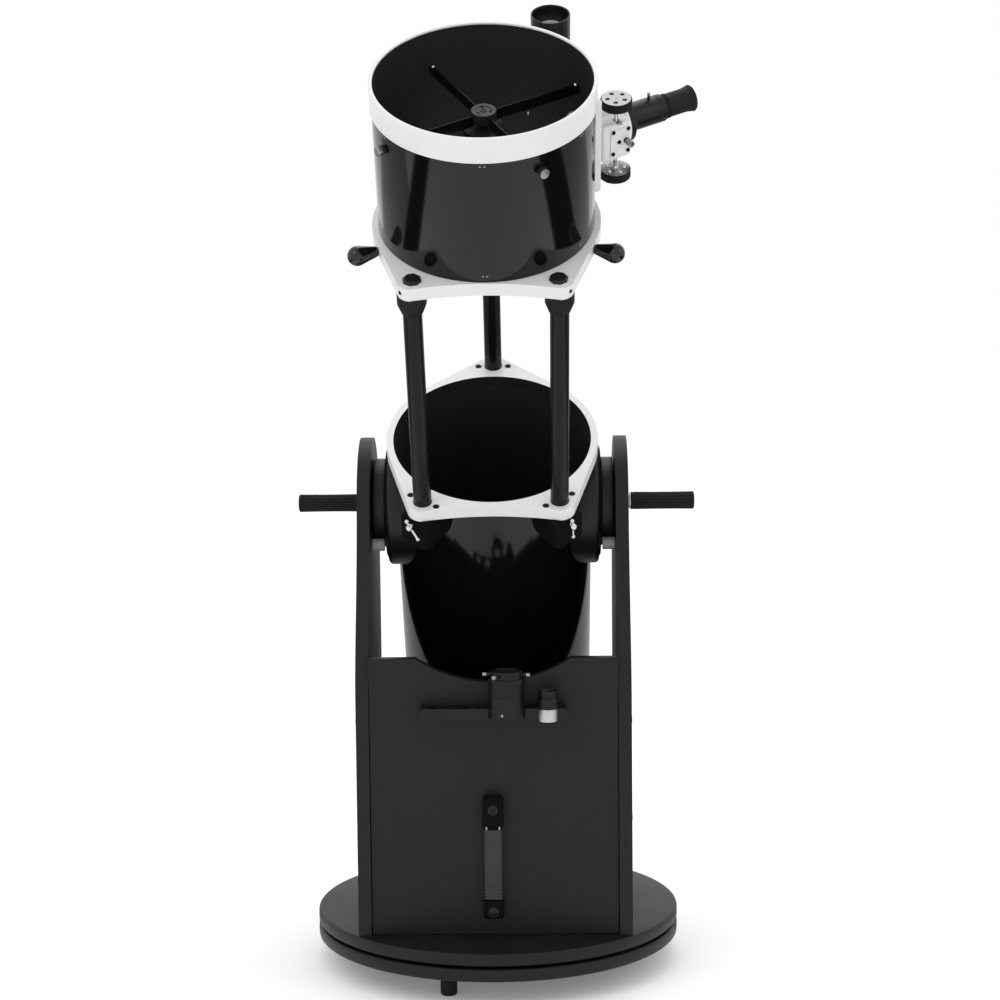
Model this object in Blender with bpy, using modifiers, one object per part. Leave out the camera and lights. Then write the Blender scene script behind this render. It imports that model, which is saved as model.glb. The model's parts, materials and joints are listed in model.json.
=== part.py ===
"""Collapsible Newtonian telescope on a rocker-box base.

A ground board on three feet carries a rocker box that turns about the azimuth axis. The lower tube
hangs in the box on two altitude bearings. Three struts carry the upper tube and slide through the
lower casting, so the telescope collapses. Metres, +Z up, origin on the floor at the centre of the
object's box, -Y towards the side that the tube leans to.
"""

from math import asin, cos, degrees, pi, radians, sin

import bmesh
import bpy
from mathutils import Matrix, Vector

OBJECT_NAME = "dobsonian_telescope"

# Driving dimensions
GAP = 0.0003                     # clearance between parts that touch
AZIMUTH_Y = 0.0875               # the azimuth axis stands this far behind the origin
PIVOT_HEIGHT = 0.827             # altitude axis above the floor
TUBE_TILT = radians(35.0)        # tube axis from the vertical, leaning to -Y

BASE_RADIUS = 0.3253
BOARD = 0.0224                   # thickness of every laminated board
BOARD_GAP = 0.0047               # between ground board and rocker board, filled by the bearing
FOOT_HEIGHT = 0.0455
FOOT_CIRCLE = 0.257
FOOT_ANGLES = {"front": -108.4, "right": 11.6, "rear": 131.6}
AZIMUTH_BOLT_RADIUS = 0.006
BEARING_RADII = (0.205, 0.245)
ROCKER_BOARD_TOP = FOOT_HEIGHT + 2 * BOARD + BOARD_GAP

PANEL_INNER_X = 0.2146           # half the width between the side panels
PANEL_TOP_RADIUS = 0.1230
PANEL_REAR_Y = 0.1300            # straight rear edge, from the azimuth axis
PANEL_TOP_HEIGHT = 0.9434
FRONT_BOARD_Y = -0.212           # its front face, from the azimuth axis
FRONT_BOARD_TOP = 0.5797
SCOOP_HALF_WIDTH = 0.133
SCOOP_DEPTH = 0.041

RACK_DEPTH = 0.038               # accessory rack, from the board's face to its front edge
RACK_BOTTOM = 0.4815
RACK_THICKNESS = 0.018
RACK_HALF_WIDTH = 0.1242
RACK_BACK = FRONT_BOARD_Y - GAP
RACK_FRONT = RACK_BACK - RACK_DEPTH
RACK_HOLES_X = (-0.0925, -0.0380)
EYEPIECE_BORE = 0.0164           # takes a 31.75 mm barrel
BARREL_RADIUS = 0.01585
RACK_EYEPIECE_X = 0.0932
RACK_EYEPIECE_HEIGHTS = (0.4785, 0.5315)
EXTENSION_X = 0.0232
EXTENSION_RADIUS = 0.0310
EXTENSION_BORE = 0.0256
EXTENSION_BOTTOM = 0.4868
CARRY_X = -0.0025                # carry handle
CARRY_HALF_WIDTH = 0.0178
CARRY_BRACKETS = {"upper": (0.2880, 0.3430), "lower": (0.1307, 0.1640)}
GRIP_HALF_WIDTH = 0.0155
GRIP_STANDOFF = 0.020            # finger gap between the front board and the grip
GRIP_THICKNESS = 0.011

TUBE_RADIUS = 0.1747
TUBE_WALL = 0.0020
LOWER_TUBE_BOTTOM = -0.545       # heights along the tube axis are counted from the pivot
LOWER_CASTING_TOP = 0.1492
UPPER_CASTING_TOP = 0.6036
CASTING_THICKNESS = 0.0225
CASTING_RING_RADIUS = 0.1850
CASTING_OPENING = {"lower": 0.1728, "upper": 0.1707}
CASTING_FRONT = {"lower": 0.1840, "upper": 0.1775}
CASTING_BOTTOM = LOWER_CASTING_TOP - CASTING_THICKNESS
CAP_HOLE = 0.0060                # under the cap on top of each strut
TOP_RIM = 0.8651
BAND_HEIGHT = 0.0432
BAND_RADIUS = 0.1774
BAND_OPENING = 0.1714
BAND_LIP = 0.0040                # turned in over the tube's upper edge
END_RING = (0.1500, 0.1785)
END_RING_DEPTH = 0.015
END_RING_SKIRT = 0.022

MIRROR_RADIUS = 0.1525
MIRROR_FACE = -0.478
MIRROR_THICKNESS = 0.036
MIRROR_SAG = 0.0039
CELL_TOP = -0.5330
CELL_BOTTOM = LOWER_TUBE_BOTTOM + GAP
COLLIMATION_CIRCLE = 0.125
COLLIMATION_ANGLES = (30, 150, 270)

STRUT_CIRCLE = 0.2055
STRUT_RADIUS = 0.0155
STRUT_WALL = 0.0015
STRUT_ANGLES = {"left": -124.4, "right": -55.6, "rear": 90.0}
STRUT_BOTTOM = 0.052
LOBE_RADIUS = {"lower": 0.0265, "upper": 0.0222}
BOOT_RADIUS = 0.0236
GUIDE_HEIGHT = 0.056
GUIDE_REACH = (0.165, 0.2325)
GUIDE_HALF_WIDTH = 0.0290
GUIDE_SCREWS = (0.2050, 7.5)     # circle, and angle on both sides of a strut
LOCK_HEIGHT = 0.1183
LOCK_BAR_REACH = 0.2430
LOCK_BAR_ENDS = (-0.0250, 0.0110)
LOCK_BAR_ANGLES = {"left": 127.9, "right": 93.4, "rear": 90.0}
LOCK_BALL = 0.0038
LIFT_KNOB_ANGLES = {"left": -158.2, "right": -21.8}
LIFT_KNOB_RADIUS = 0.0162
LIFT_KNOB_REACH = (0.1870, 0.2210)

DISC_RADIUS = 0.0790             # altitude bearing that rolls on the bushes
DISC_FACES = (0.1905, 0.2118)
HUB_RADIUS = 0.1105
HUB_FACES = (0.1330, 0.1902)
BUSH_RADIUS = 0.0112
BUSH_START = 0.1925
BUSH_ANGLE = radians(40.5)       # of each bush from straight below the pivot
HANDLE_BORE = 0.0095
HANDLE_ENDS = {"fixed": (0.2375, 0.3492), "tension": (0.2450, 0.3583)}

SPIDER_HEIGHT = 0.7935
SPIDER_ANGLES = (30.0, 120.0, 210.0, 300.0)
SPIDER_HUB_TOP = 0.8080
SPIDER_HUB_DEPTH = 0.018
SECONDARY_RADIUS = 0.0350
SECONDARY_THICKNESS = 0.009
FOCUSER_ANGLE = 30.0
FOCUSER_HEIGHT = 0.709
KNOB_OFFSET = 0.040              # focus axle in front of the drawtube's axis
KNOB_REACH = 0.2185              # focus axle from the tube axis
AXLE_RADIUS = 0.0032
KNOB_RADIUS = 0.0255
KNOB_HALF_LENGTH = 0.0730
KNOB_THICKNESS = 0.0158
DRAWTUBE_RADIUS = 0.0290
COLLAR_FACES = (0.2503, 0.2620)
ADAPTER_SEAT = 0.3310
EYEPIECE_END = 0.3890
FINDER_ANGLE = 63.4
FINDER_CIRCLE = 0.237

ROUND = 48                       # sides of the large round parts
SMALL_ROUND = 16
ALONG_X = (0.0, pi / 2, 0.0)
ALONG_Y = (pi / 2, 0.0, 0.0)

# Colours: red, green, blue, roughness, metallic
FINISHES = {
    "laminate": (0.016, 0.016, 0.018, 0.55, 0.0),
    "tube_paint": (0.010, 0.010, 0.010, 0.18, 0.0),
    "casting_paint": (0.80, 0.80, 0.78, 0.35, 0.0),
    "black_plastic": (0.014, 0.014, 0.015, 0.45, 0.0),
    "black_rubber": (0.020, 0.020, 0.020, 0.80, 0.0),
    "grip_rubber": (0.060, 0.060, 0.062, 0.75, 0.0),
    "strut_paint": (0.012, 0.012, 0.012, 0.30, 0.0),
    "nylon": (0.35, 0.37, 0.37, 0.50, 0.0),
    "chrome": (0.75, 0.75, 0.77, 0.15, 1.0),
    "mirror": (0.90, 0.90, 0.92, 0.02, 1.0),
}

parts = None
cutters = None


def reset_scene():
    """Empty the scene and make one collection for the parts and one for the cutting shapes."""
    global parts, cutters
    for obj in list(bpy.data.objects):
        bpy.data.objects.remove(obj, do_unlink=True)
    parts = bpy.data.collections.new(OBJECT_NAME)
    cutters = bpy.data.collections.new("cutters")
    bpy.context.scene.collection.children.link(parts)
    bpy.context.scene.collection.children.link(cutters)


def finish(name):
    """One Principled material for each finish."""
    material = bpy.data.materials.get(name)
    if material is None:
        red, green, blue, roughness, metallic = FINISHES[name]
        material = bpy.data.materials.new(name)
        material.use_nodes = True
        shader = material.node_tree.nodes["Principled BSDF"]
        shader.inputs["Base Color"].default_value = (red, green, blue, 1.0)
        shader.inputs["Roughness"].default_value = roughness
        shader.inputs["Metallic"].default_value = metallic
        material.diffuse_color = (red, green, blue, 1.0)
    return material


def empty(name, location, rotation=(0.0, 0.0, 0.0), parent=None):
    """A joint axis or a group's frame."""
    axis = bpy.data.objects.new(name, None)
    axis.location = location
    axis.rotation_euler = rotation
    axis.parent = parent
    axis.empty_display_size = 0.05
    parts.objects.link(axis)
    return axis


def place(obj, material, parent, location=(0.0, 0.0, 0.0), rotation=(0.0, 0.0, 0.0)):
    """Give a part its material and its place."""
    obj.parent = parent
    obj.location = location
    obj.rotation_euler = rotation
    obj.data.materials.clear()
    obj.data.materials.append(finish(material))
    return obj


def mesh_object(name, bm):
    """A linked object from a bmesh, shaded smooth across shallow edges."""
    mesh = bpy.data.meshes.new(name)
    bm.to_mesh(mesh)
    bm.free()
    mesh.shade_smooth()
    mesh.set_sharp_from_angle(angle=radians(40.0))
    obj = bpy.data.objects.new(name, mesh)
    parts.objects.link(obj)
    return obj


def box(name, low, high):
    """A block between two corners of its own frame."""
    size = Vector(high) - Vector(low)
    centre = (Vector(high) + Vector(low)) / 2
    bm = bmesh.new()
    bmesh.ops.create_cube(bm, size=1.0, matrix=Matrix.Translation(centre) @ Matrix.Diagonal((*size, 1.0)))
    return mesh_object(name, bm)


def rod(name, radius, bottom, top, segments=SMALL_ROUND, top_radius=None):
    """A cylinder or cone along its own Z."""
    bm = bmesh.new()
    middle = Matrix.Translation((0.0, 0.0, (bottom + top) / 2))
    bmesh.ops.create_cone(bm, cap_ends=True, segments=segments, radius1=radius,
                          radius2=radius if top_radius is None else top_radius,
                          depth=top - bottom, matrix=middle)
    return mesh_object(name, bm)


def turned(name, profile, segments=SMALL_ROUND):
    """A profile of (radius, height) turned about Z, its outer side listed from top to bottom.

    A profile that starts and ends on the axis makes a solid; any other is closed into a ring.
    """
    solid = profile[0][0] == 0.0
    bm = bmesh.new()
    points = [bm.verts.new((radius, 0.0, height)) for radius, height in profile]
    for first, second in zip(points, points[1:]):
        bm.edges.new((first, second))
    if not solid:
        bm.edges.new((points[-1], points[0]))
    obj = mesh_object(name, bm)
    screw = obj.modifiers.new("turn", "SCREW")
    screw.steps = segments
    screw.render_steps = segments
    screw.use_merge_vertices = True
    screw.merge_threshold = 0.00005
    screw.use_smooth_shade = True
    return obj


def circle(radius, segments, centre=(0.0, 0.0)):
    """Corner points of a round outline."""
    steps = [2 * pi * i / segments for i in range(segments)]
    return [(centre[0] + radius * cos(a), centre[1] + radius * sin(a)) for a in steps]


def arc(centre, radius, start, end, segments):
    """Points along an arc, its angles in radians."""
    angles = [start + (end - start) * i / segments for i in range(segments + 1)]
    return [(centre[0] + radius * cos(a), centre[1] + radius * sin(a)) for a in angles]


def bezier(points, segments):
    """Points along a cubic curve, without its last point."""
    a, b, c, d = (Vector(p) for p in points)
    curve = []
    for i in range(segments):
        t = i / segments
        p = a * (1 - t) ** 3 + b * 3 * t * (1 - t) ** 2 + c * 3 * t * t * (1 - t) + d * t ** 3
        curve.append((p.x, p.y))
    return curve


def plate(name, outlines, thickness):
    """A flat outline with holes, centred on its own XY plane."""
    curve = bpy.data.curves.new(name, "CURVE")
    curve.dimensions = "2D"
    curve.fill_mode = "BOTH"
    curve.extrude = thickness / 2
    for outline in outlines:
        spline = curve.splines.new("POLY")
        spline.points.add(len(outline) - 1)
        for point, (x, y) in zip(spline.points, outline):
            point.co = (x, y, 0.0, 1.0)
        spline.use_cyclic_u = True
    return curve_to_solid(name, curve)


def curve_to_solid(name, curve):
    """Turn a filled curve into a closed mesh object."""
    guide = bpy.data.objects.new(name + "_curve", curve)
    parts.objects.link(guide)
    bpy.context.view_layer.update()
    evaluated = guide.evaluated_get(bpy.context.evaluated_depsgraph_get())
    mesh = bpy.data.meshes.new_from_object(evaluated)
    bpy.data.objects.remove(guide, do_unlink=True)
    bm = bmesh.new()
    bm.from_mesh(mesh)
    bmesh.ops.remove_doubles(bm, verts=bm.verts, dist=0.00002)
    bmesh.ops.recalc_face_normals(bm, faces=bm.faces)
    bpy.data.meshes.remove(mesh)
    return mesh_object(name, bm)


def combine(target, tool, operation):
    """Cut, join or trim a part with another shape, which is then kept as a hidden cutter."""
    tool.parent = target
    parts.objects.unlink(tool)
    cutters.objects.link(tool)
    tool.hide_render = True
    tool.display_type = "WIRE"
    tool.name = f"{target.name}_{operation.lower()}_{len(target.modifiers)}"
    modifier = target.modifiers.new(operation.lower(), "BOOLEAN")
    modifier.operation = operation
    modifier.solver = "EXACT"
    modifier.object = tool
    return target


def cut(target, tool):
    return combine(target, tool, "DIFFERENCE")


def join(target, tool):
    return combine(target, tool, "UNION")


def soften(obj, width, segments=2):
    """Round the edges of a part."""
    bevel = obj.modifiers.new("rounded_edges", "BEVEL")
    bevel.width = width
    bevel.segments = segments
    bevel.limit_method = "ANGLE"
    bevel.angle_limit = radians(50.0)
    return obj


def turn_to(obj, rotation, location=(0.0, 0.0, 0.0)):
    """Turn and move a cutting shape in its target's frame."""
    obj.rotation_euler = rotation
    obj.location = location
    return obj


# Ground board, feet and azimuth bearing

def round_board(name, bottom, base):
    """A round laminated board with softened edges and a hole for the azimuth bolt."""
    top = bottom + BOARD
    edge = 0.0035
    hole = AZIMUTH_BOLT_RADIUS + GAP
    profile = [(BASE_RADIUS - edge, top), (BASE_RADIUS, top - edge), (BASE_RADIUS, bottom + edge),
               (BASE_RADIUS - edge, bottom), (hole, bottom), (hole, top)]
    return place(turned(name, profile, ROUND), "laminate", base)


def build_ground(base):
    round_board("ground_board", FOOT_HEIGHT, base)
    for side, angle in FOOT_ANGLES.items():
        a = radians(angle)
        top = FOOT_HEIGHT - GAP
        profile = [(0.0, top), (0.0156, top), (0.0145, 0.003), (0.0120, 0.0), (0.0, 0.0)]
        place(turned(f"foot_{side}", profile, 20), "black_rubber", base,
              (FOOT_CIRCLE * cos(a), FOOT_CIRCLE * sin(a), 0.0))
    low = FOOT_HEIGHT + BOARD + GAP
    high = low + BOARD_GAP - 2 * GAP
    inner, outer = BEARING_RADII
    race = [(outer, high), (outer, low), (inner, low), (inner, high)]
    place(turned("azimuth_bearing", race, 32), "nylon", base)
    build_azimuth_bolt(base)


def build_azimuth_bolt(base):
    """Bolt up through both boards, with its domed head below and its lock nut above."""
    head_top = FOOT_HEIGHT - GAP
    shank = AZIMUTH_BOLT_RADIUS
    nut_bottom = ROCKER_BOARD_TOP + GAP
    end = nut_bottom + 0.016
    profile = [(0.0, end), (shank, end), (shank, nut_bottom + 0.011), (0.011, nut_bottom + 0.010),
               (0.011, nut_bottom + 0.0015), (0.016, nut_bottom + 0.0015), (0.016, nut_bottom),
               (shank, nut_bottom), (shank, head_top), (0.014, head_top), (0.009, head_top - 0.005),
               (0.0, head_top - 0.006)]
    place(turned("azimuth_bolt", profile, 12), "chrome", base)


# Rocker box

def panel_outline():
    """Side panel seen from the side, as (Y, Z): straight rear edge, round top, front edge drawn in."""
    foot = ROCKER_BOARD_TOP + GAP
    centre = (PANEL_REAR_Y - PANEL_TOP_RADIUS, PANEL_TOP_HEIGHT - PANEL_TOP_RADIUS)
    top = arc(centre, PANEL_TOP_RADIUS, 0.0, pi - radians(8.0), 20)
    flank = bezier([(-0.2126, 0.520), (-0.2010, 0.610), (-0.1320, 0.700), top[-1]], 10)
    return [(PANEL_REAR_Y, foot)] + top + flank[:0:-1] + [flank[0], (-0.2195, foot)]


def build_side_panel(side, sign, base):
    centre = sign * (PANEL_INNER_X + BOARD / 2)
    bore = circle(HANDLE_BORE, 16, (0.0, PIVOT_HEIGHT))
    panel = plate(f"side_panel_{side}", [panel_outline(), bore], BOARD)
    # the outline's X and Y become the panel's Y and Z
    place(panel, "laminate", base, (centre, 0.0, 0.0), (pi / 2, 0.0, pi / 2))


def build_front_board(base):
    """Board between the side panels, with a shallow scoop in its top edge for the tube."""
    half = PANEL_INNER_X - GAP
    foot = ROCKER_BOARD_TOP + GAP
    radius = (SCOOP_HALF_WIDTH ** 2 + SCOOP_DEPTH ** 2) / (2 * SCOOP_DEPTH)
    reach = asin(SCOOP_HALF_WIDTH / radius)
    centre = (0.0, FRONT_BOARD_TOP - SCOOP_DEPTH + radius)
    scoop = arc(centre, radius, -pi / 2 + reach, -pi / 2 - reach, 18)
    outline = [(-half, foot), (half, foot), (half, FRONT_BOARD_TOP)] + scoop + [(-half, FRONT_BOARD_TOP)]
    board = plate("front_board", [outline], BOARD)
    place(board, "laminate", base, (0.0, FRONT_BOARD_Y + BOARD / 2, 0.0), ALONG_Y)


def build_accessory_rack(base):
    """Bar on the front board: two eyepiece holes, and two open notches for larger pieces."""
    rack = box("accessory_rack", (-RACK_HALF_WIDTH, RACK_FRONT, RACK_BOTTOM),
               (RACK_HALF_WIDTH, RACK_BACK, RACK_BOTTOM + RACK_THICKNESS))
    low, high = RACK_BOTTOM - 0.01, RACK_BOTTOM + RACK_THICKNESS + 0.01
    middle = RACK_BACK - RACK_DEPTH / 2
    for x in RACK_HOLES_X:
        cut(rack, turn_to(rod("hole", EYEPIECE_BORE, low, high, 20), (0.0, 0.0, 0.0), (x, middle, 0.0)))
    notches = ((EXTENSION_X, EXTENSION_RADIUS + 2 * GAP), (RACK_EYEPIECE_X, EYEPIECE_BORE))
    for x, radius in notches:
        cut(rack, turn_to(rod("notch", radius, low, high, 28), (0.0, 0.0, 0.0), (x, RACK_FRONT, 0.0)))
    place(rack, "black_plastic", base)


def build_extension_tube(base):
    """Hollow extension tube standing in the rack's wide notch, with a collar at its top."""
    r, z = EXTENSION_RADIUS, EXTENSION_BOTTOM
    profile = [(r - 0.001, z + 0.0785), (r, z + 0.0775), (r, z + 0.0670), (r - 0.0015, z + 0.0660),
               (r - 0.0015, z + 0.0140), (r, z + 0.0130), (r, z), (EXTENSION_BORE, z),
               (EXTENSION_BORE, z + 0.0785)]
    place(turned("extension_tube", profile, 24), "black_plastic", base, (EXTENSION_X, RACK_FRONT, 0.0))


def build_rack_eyepiece(base):
    """Spare eyepiece hanging in the rack's narrow notch by its shoulder."""
    body = 0.0175
    bottom, top = RACK_EYEPIECE_HEIGHTS
    shoulder = RACK_BOTTOM + RACK_THICKNESS + GAP
    profile = [(0.0, top - 0.003), (0.0120, top - 0.003), (0.0155, top), (0.0160, top - 0.008),
               (body, top - 0.012), (body, shoulder), (BARREL_RADIUS, shoulder), (BARREL_RADIUS, bottom),
               (0.0140, bottom), (0.0140, bottom + 0.010), (0.0, bottom + 0.010)]
    place(turned("rack_eyepiece", profile, 16), "black_plastic", base, (RACK_EYEPIECE_X, RACK_FRONT, 0.0))


def build_carry_handle(base):
    """Two end brackets screwed to the front board and a rubber grip between them."""
    face = FRONT_BOARD_Y - GAP
    front = face - GRIP_STANDOFF - GRIP_THICKNESS
    for end, (low, high) in CARRY_BRACKETS.items():
        bracket = box(f"handle_{end}_bracket", (CARRY_X - CARRY_HALF_WIDTH, front, low),
                      (CARRY_X + CARRY_HALF_WIDTH, face, high))
        soften(bracket, 0.004)
        place(bracket, "black_plastic", base)
    grip_low, grip_high = CARRY_BRACKETS["lower"][1] + GAP, CARRY_BRACKETS["upper"][0] - GAP
    grip = box("handle_grip", (CARRY_X - GRIP_HALF_WIDTH, front + 0.001, grip_low),
               (CARRY_X + GRIP_HALF_WIDTH, face - GRIP_STANDOFF, grip_high))
    soften(grip, 0.003)
    place(grip, "grip_rubber", base)


def build_bushes(base):
    """Four fixed nylon bushes on the panels that the altitude bearings turn on."""
    reach = DISC_RADIUS + BUSH_RADIUS + GAP
    for side, sign in (("left", -1), ("right", 1)):
        for end, way in (("front", -1), ("rear", 1)):
            bush = rod(f"bush_{side}_{end}", BUSH_RADIUS, BUSH_START, PANEL_INNER_X - GAP, 20)
            y, z = way * reach * sin(BUSH_ANGLE), PIVOT_HEIGHT - reach * cos(BUSH_ANGLE)
            place(bush, "nylon", base, (0.0, y, z), (0.0, sign * pi / 2, 0.0))


def build_rocker(base):
    round_board("rocker_board", FOOT_HEIGHT + BOARD + BOARD_GAP, base)
    build_side_panel("left", -1, base)
    build_side_panel("right", 1, base)
    build_front_board(base)
    build_accessory_rack(base)
    build_extension_tube(base)
    build_rack_eyepiece(base)
    build_carry_handle(base)
    build_bushes(base)


# Lower tube, mirror and altitude bearings

def build_lower_tube(tube):
    inner = TUBE_RADIUS - TUBE_WALL
    top = CASTING_BOTTOM - GAP
    wall = [(TUBE_RADIUS, top), (TUBE_RADIUS, LOWER_TUBE_BOTTOM), (inner, LOWER_TUBE_BOTTOM), (inner, top)]
    place(turned("lower_tube", wall, ROUND), "tube_paint", tube)
    skirt = TUBE_RADIUS + GAP
    bottom, floor = LOWER_TUBE_BOTTOM - END_RING_DEPTH, LOWER_TUBE_BOTTOM - GAP
    opening, outer = END_RING
    high = floor + END_RING_SKIRT
    ring = [(outer, high), (outer, bottom), (opening, bottom), (opening, floor), (skirt, floor),
            (skirt, high)]
    place(turned("end_ring", ring, ROUND), "casting_paint", tube)


def build_mirror(tube):
    """Primary mirror on a vented cell plate, held by three collimation knobs."""
    plate_radius = TUBE_RADIUS - TUBE_WALL - 2 * GAP
    cell = plate("mirror_cell", [circle(plate_radius, ROUND)]
                 + [circle(0.0040, 8, spoke(COLLIMATION_CIRCLE, a)) for a in COLLIMATION_ANGLES]
                 + [circle(0.045, 16, spoke(0.080, a)) for a in (90, 210, 330)], CELL_TOP - CELL_BOTTOM)
    place(cell, "black_plastic", tube, (0.0, 0.0, (CELL_TOP + CELL_BOTTOM) / 2))
    back = MIRROR_FACE - MIRROR_THICKNESS
    face = [(MIRROR_RADIUS * i / 3, MIRROR_FACE - MIRROR_SAG * (1 - (i / 3) ** 2)) for i in range(4)]
    profile = face + [(MIRROR_RADIUS, back), (0.0, back)]
    place(turned("primary_mirror", profile, 40), "mirror", tube)
    for number, angle in enumerate(COLLIMATION_ANGLES, 1):
        knob_top = CELL_BOTTOM - GAP
        tip = back - GAP
        profile = [(0.0, tip), (0.0060, tip), (0.0060, CELL_TOP + GAP), (0.0035, CELL_TOP + GAP),
                   (0.0035, knob_top), (0.0110, knob_top), (0.0120, knob_top - 0.012),
                   (0.0, knob_top - 0.013)]
        place(turned(f"collimation_knob_{number}", profile), "black_plastic", tube,
              (*spoke(COLLIMATION_CIRCLE, angle), 0.0))


def spoke(radius, angle):
    """A point at this radius and angle in degrees."""
    return radius * cos(radians(angle)), radius * sin(radians(angle))


def build_altitude_bearing(side, sign, tube):
    """Saddle hub bolted to the tube's side, and the smooth disc that rests on the bushes."""
    hub = rod(f"altitude_hub_{side}", HUB_RADIUS, *HUB_FACES, 40)
    saddle = turn_to(rod("saddle", TUBE_RADIUS + GAP, -0.2, 0.2, ROUND), (0.0, -sign * pi / 2, 0.0))
    cut(hub, saddle)
    place(hub, "black_plastic", tube, rotation=(0.0, sign * pi / 2, 0.0))
    near, far = DISC_FACES
    shaft = 0.0063
    profile = [(DISC_RADIUS - 0.002, far), (DISC_RADIUS, far - 0.002), (DISC_RADIUS, near), (shaft, near),
               (shaft, far)]
    place(turned(f"altitude_disc_{side}", profile, 40), "black_plastic", tube,
          rotation=(0.0, sign * pi / 2, 0.0))


def build_altitude_handle(name, sign, start, end, tube):
    """Fluted grip on a shaft that passes the panel and screws into the altitude disc."""
    near = DISC_FACES[0] + 0.001
    profile = [(0.0, end), (0.0140, end), (0.0160, end - 0.003), (0.0154, start), (0.0085, start),
               (0.0085, DISC_FACES[1] + GAP), (0.0060, DISC_FACES[1] + GAP), (0.0060, near), (0.0, near)]
    place(turned(name, profile, 18), "black_rubber", tube, rotation=(0.0, sign * pi / 2, 0.0))


# Castings, struts and their locks

def lobed_outline(lobe_radius, front_reach):
    """Ring with a lobe round each strut: tangent flanks, and a front edge that dips between lobes."""
    lobes = {side: spoke(STRUT_CIRCLE, angle) for side, angle in STRUT_ANGLES.items()}
    lean = degrees(asin((CASTING_RING_RADIUS - lobe_radius) / STRUT_CIRCLE))
    # directions in which the flanks touch both the ring and a lobe
    right, rear = STRUT_ANGLES["right"] + 90 - lean, STRUT_ANGLES["rear"] - 90 + lean
    right_lobe = arc(lobes["right"], lobe_radius, radians(-84), radians(right), 8)
    ring = arc((0.0, 0.0), CASTING_RING_RADIUS, radians(right), radians(rear), 7)
    rear_lobe = arc(lobes["rear"], lobe_radius, radians(rear), radians(90), 5)
    half = right_lobe + ring + rear_lobe
    mirrored = [(-x, y) for x, y in reversed(half[:-1])]
    corner = Vector(half[0])
    dip = [(corner.x * (1 - 2 * i / 8), -front_reach + (corner.y + front_reach) * (1 - 2 * i / 8) ** 2)
           for i in range(1, 8)]
    return half + mirrored + [(-x, y) for x, y in dip]


def build_casting(where, top, strut_hole, screw_holes, tube):
    """White casting that ties the struts to a tube."""
    outline = lobed_outline(LOBE_RADIUS[where], CASTING_FRONT[where])
    mouth = circle(CASTING_OPENING[where], ROUND)
    holes = [circle(strut_hole, SMALL_ROUND, spoke(STRUT_CIRCLE, a)) for a in STRUT_ANGLES.values()]
    holes += [circle(0.0045, 8, spoke(*at)) for at in screw_holes]
    casting = plate(f"{where}_casting", [outline, mouth] + holes, CASTING_THICKNESS)
    place(casting, "casting_paint", tube, (0.0, 0.0, top - CASTING_THICKNESS / 2))


def guide_screw_holes():
    """Screw holes on both sides of each strut: (radius, angle)."""
    radius, step = GUIDE_SCREWS
    return [(radius, angle + side) for angle in STRUT_ANGLES.values() for side in (-step, step)]


def build_strut_guide(side, angle, tube):
    """Block under a lobe that the strut slides through."""
    top = CASTING_BOTTOM - GAP
    bottom = top - GUIDE_HEIGHT
    near, far = GUIDE_REACH
    guide = box(f"strut_guide_{side}", (near, -GUIDE_HALF_WIDTH, bottom), (far, GUIDE_HALF_WIDTH, top))
    soften(guide, 0.004)
    cut(guide, turn_to(rod("tube", TUBE_RADIUS + GAP, bottom - 0.01, top + 0.01, ROUND),
                       (0.0, 0.0, radians(-angle))))
    cut(guide, turn_to(rod("strut", STRUT_RADIUS + 2 * GAP, bottom - 0.01, top + 0.01),
                       (0.0, 0.0, radians(-angle)), (STRUT_CIRCLE, 0.0, 0.0)))
    cut(guide, turn_to(rod("thread", 0.0034, STRUT_CIRCLE, 0.240, 12), ALONG_X,
                       (0.0, 0.0, LOCK_HEIGHT)))
    place(guide, "black_plastic", tube, rotation=(0.0, 0.0, radians(angle)))


def build_lock_screw(side, angle, tube):
    """Screw that clamps a strut, turned by a cross bar with ball ends."""
    screw = rod(f"lock_screw_{side}", 0.0030, STRUT_CIRCLE + STRUT_RADIUS + GAP, 0.2450, 8)
    join(screw, rod("boss", 0.0056, 0.2395, 0.2495, 10))
    near, far = LOCK_BAR_ENDS
    join(screw, turn_to(rod("bar", 0.0022, -far, -near, 6), ALONG_Y, (0.0, 0.0, LOCK_BAR_REACH)))
    for end in LOCK_BAR_ENDS:
        ball = bmesh.new()
        bmesh.ops.create_uvsphere(ball, u_segments=8, v_segments=4, radius=LOCK_BALL)
        join(screw, turn_to(mesh_object("ball", ball), (0, 0, 0), (0.0, end, LOCK_BAR_REACH)))
    spin = (radians(LOCK_BAR_ANGLES[side]), 0.0, radians(angle))
    axis = empty(f"lock_axis_{side}", (0.0, 0.0, LOCK_HEIGHT), spin, tube)
    place(screw, "chrome", axis, rotation=ALONG_X)


def build_strut(side, angle, tube):
    """Hollow strut with the tapered boot that seats it under the upper casting."""
    top = UPPER_CASTING_TOP - CASTING_THICKNESS - GAP
    inner = STRUT_RADIUS - STRUT_WALL
    boot = [(BOOT_RADIUS, top), (BOOT_RADIUS, top - 0.0175), (0.0172, top - 0.0350)]
    pole = [(STRUT_RADIUS, top - 0.0352), (STRUT_RADIUS, STRUT_BOTTOM), (inner, STRUT_BOTTOM), (inner, top)]
    profile = boot + pole
    place(turned(f"strut_{side}", profile), "strut_paint", tube, (*spoke(STRUT_CIRCLE, angle), 0.0))


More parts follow.
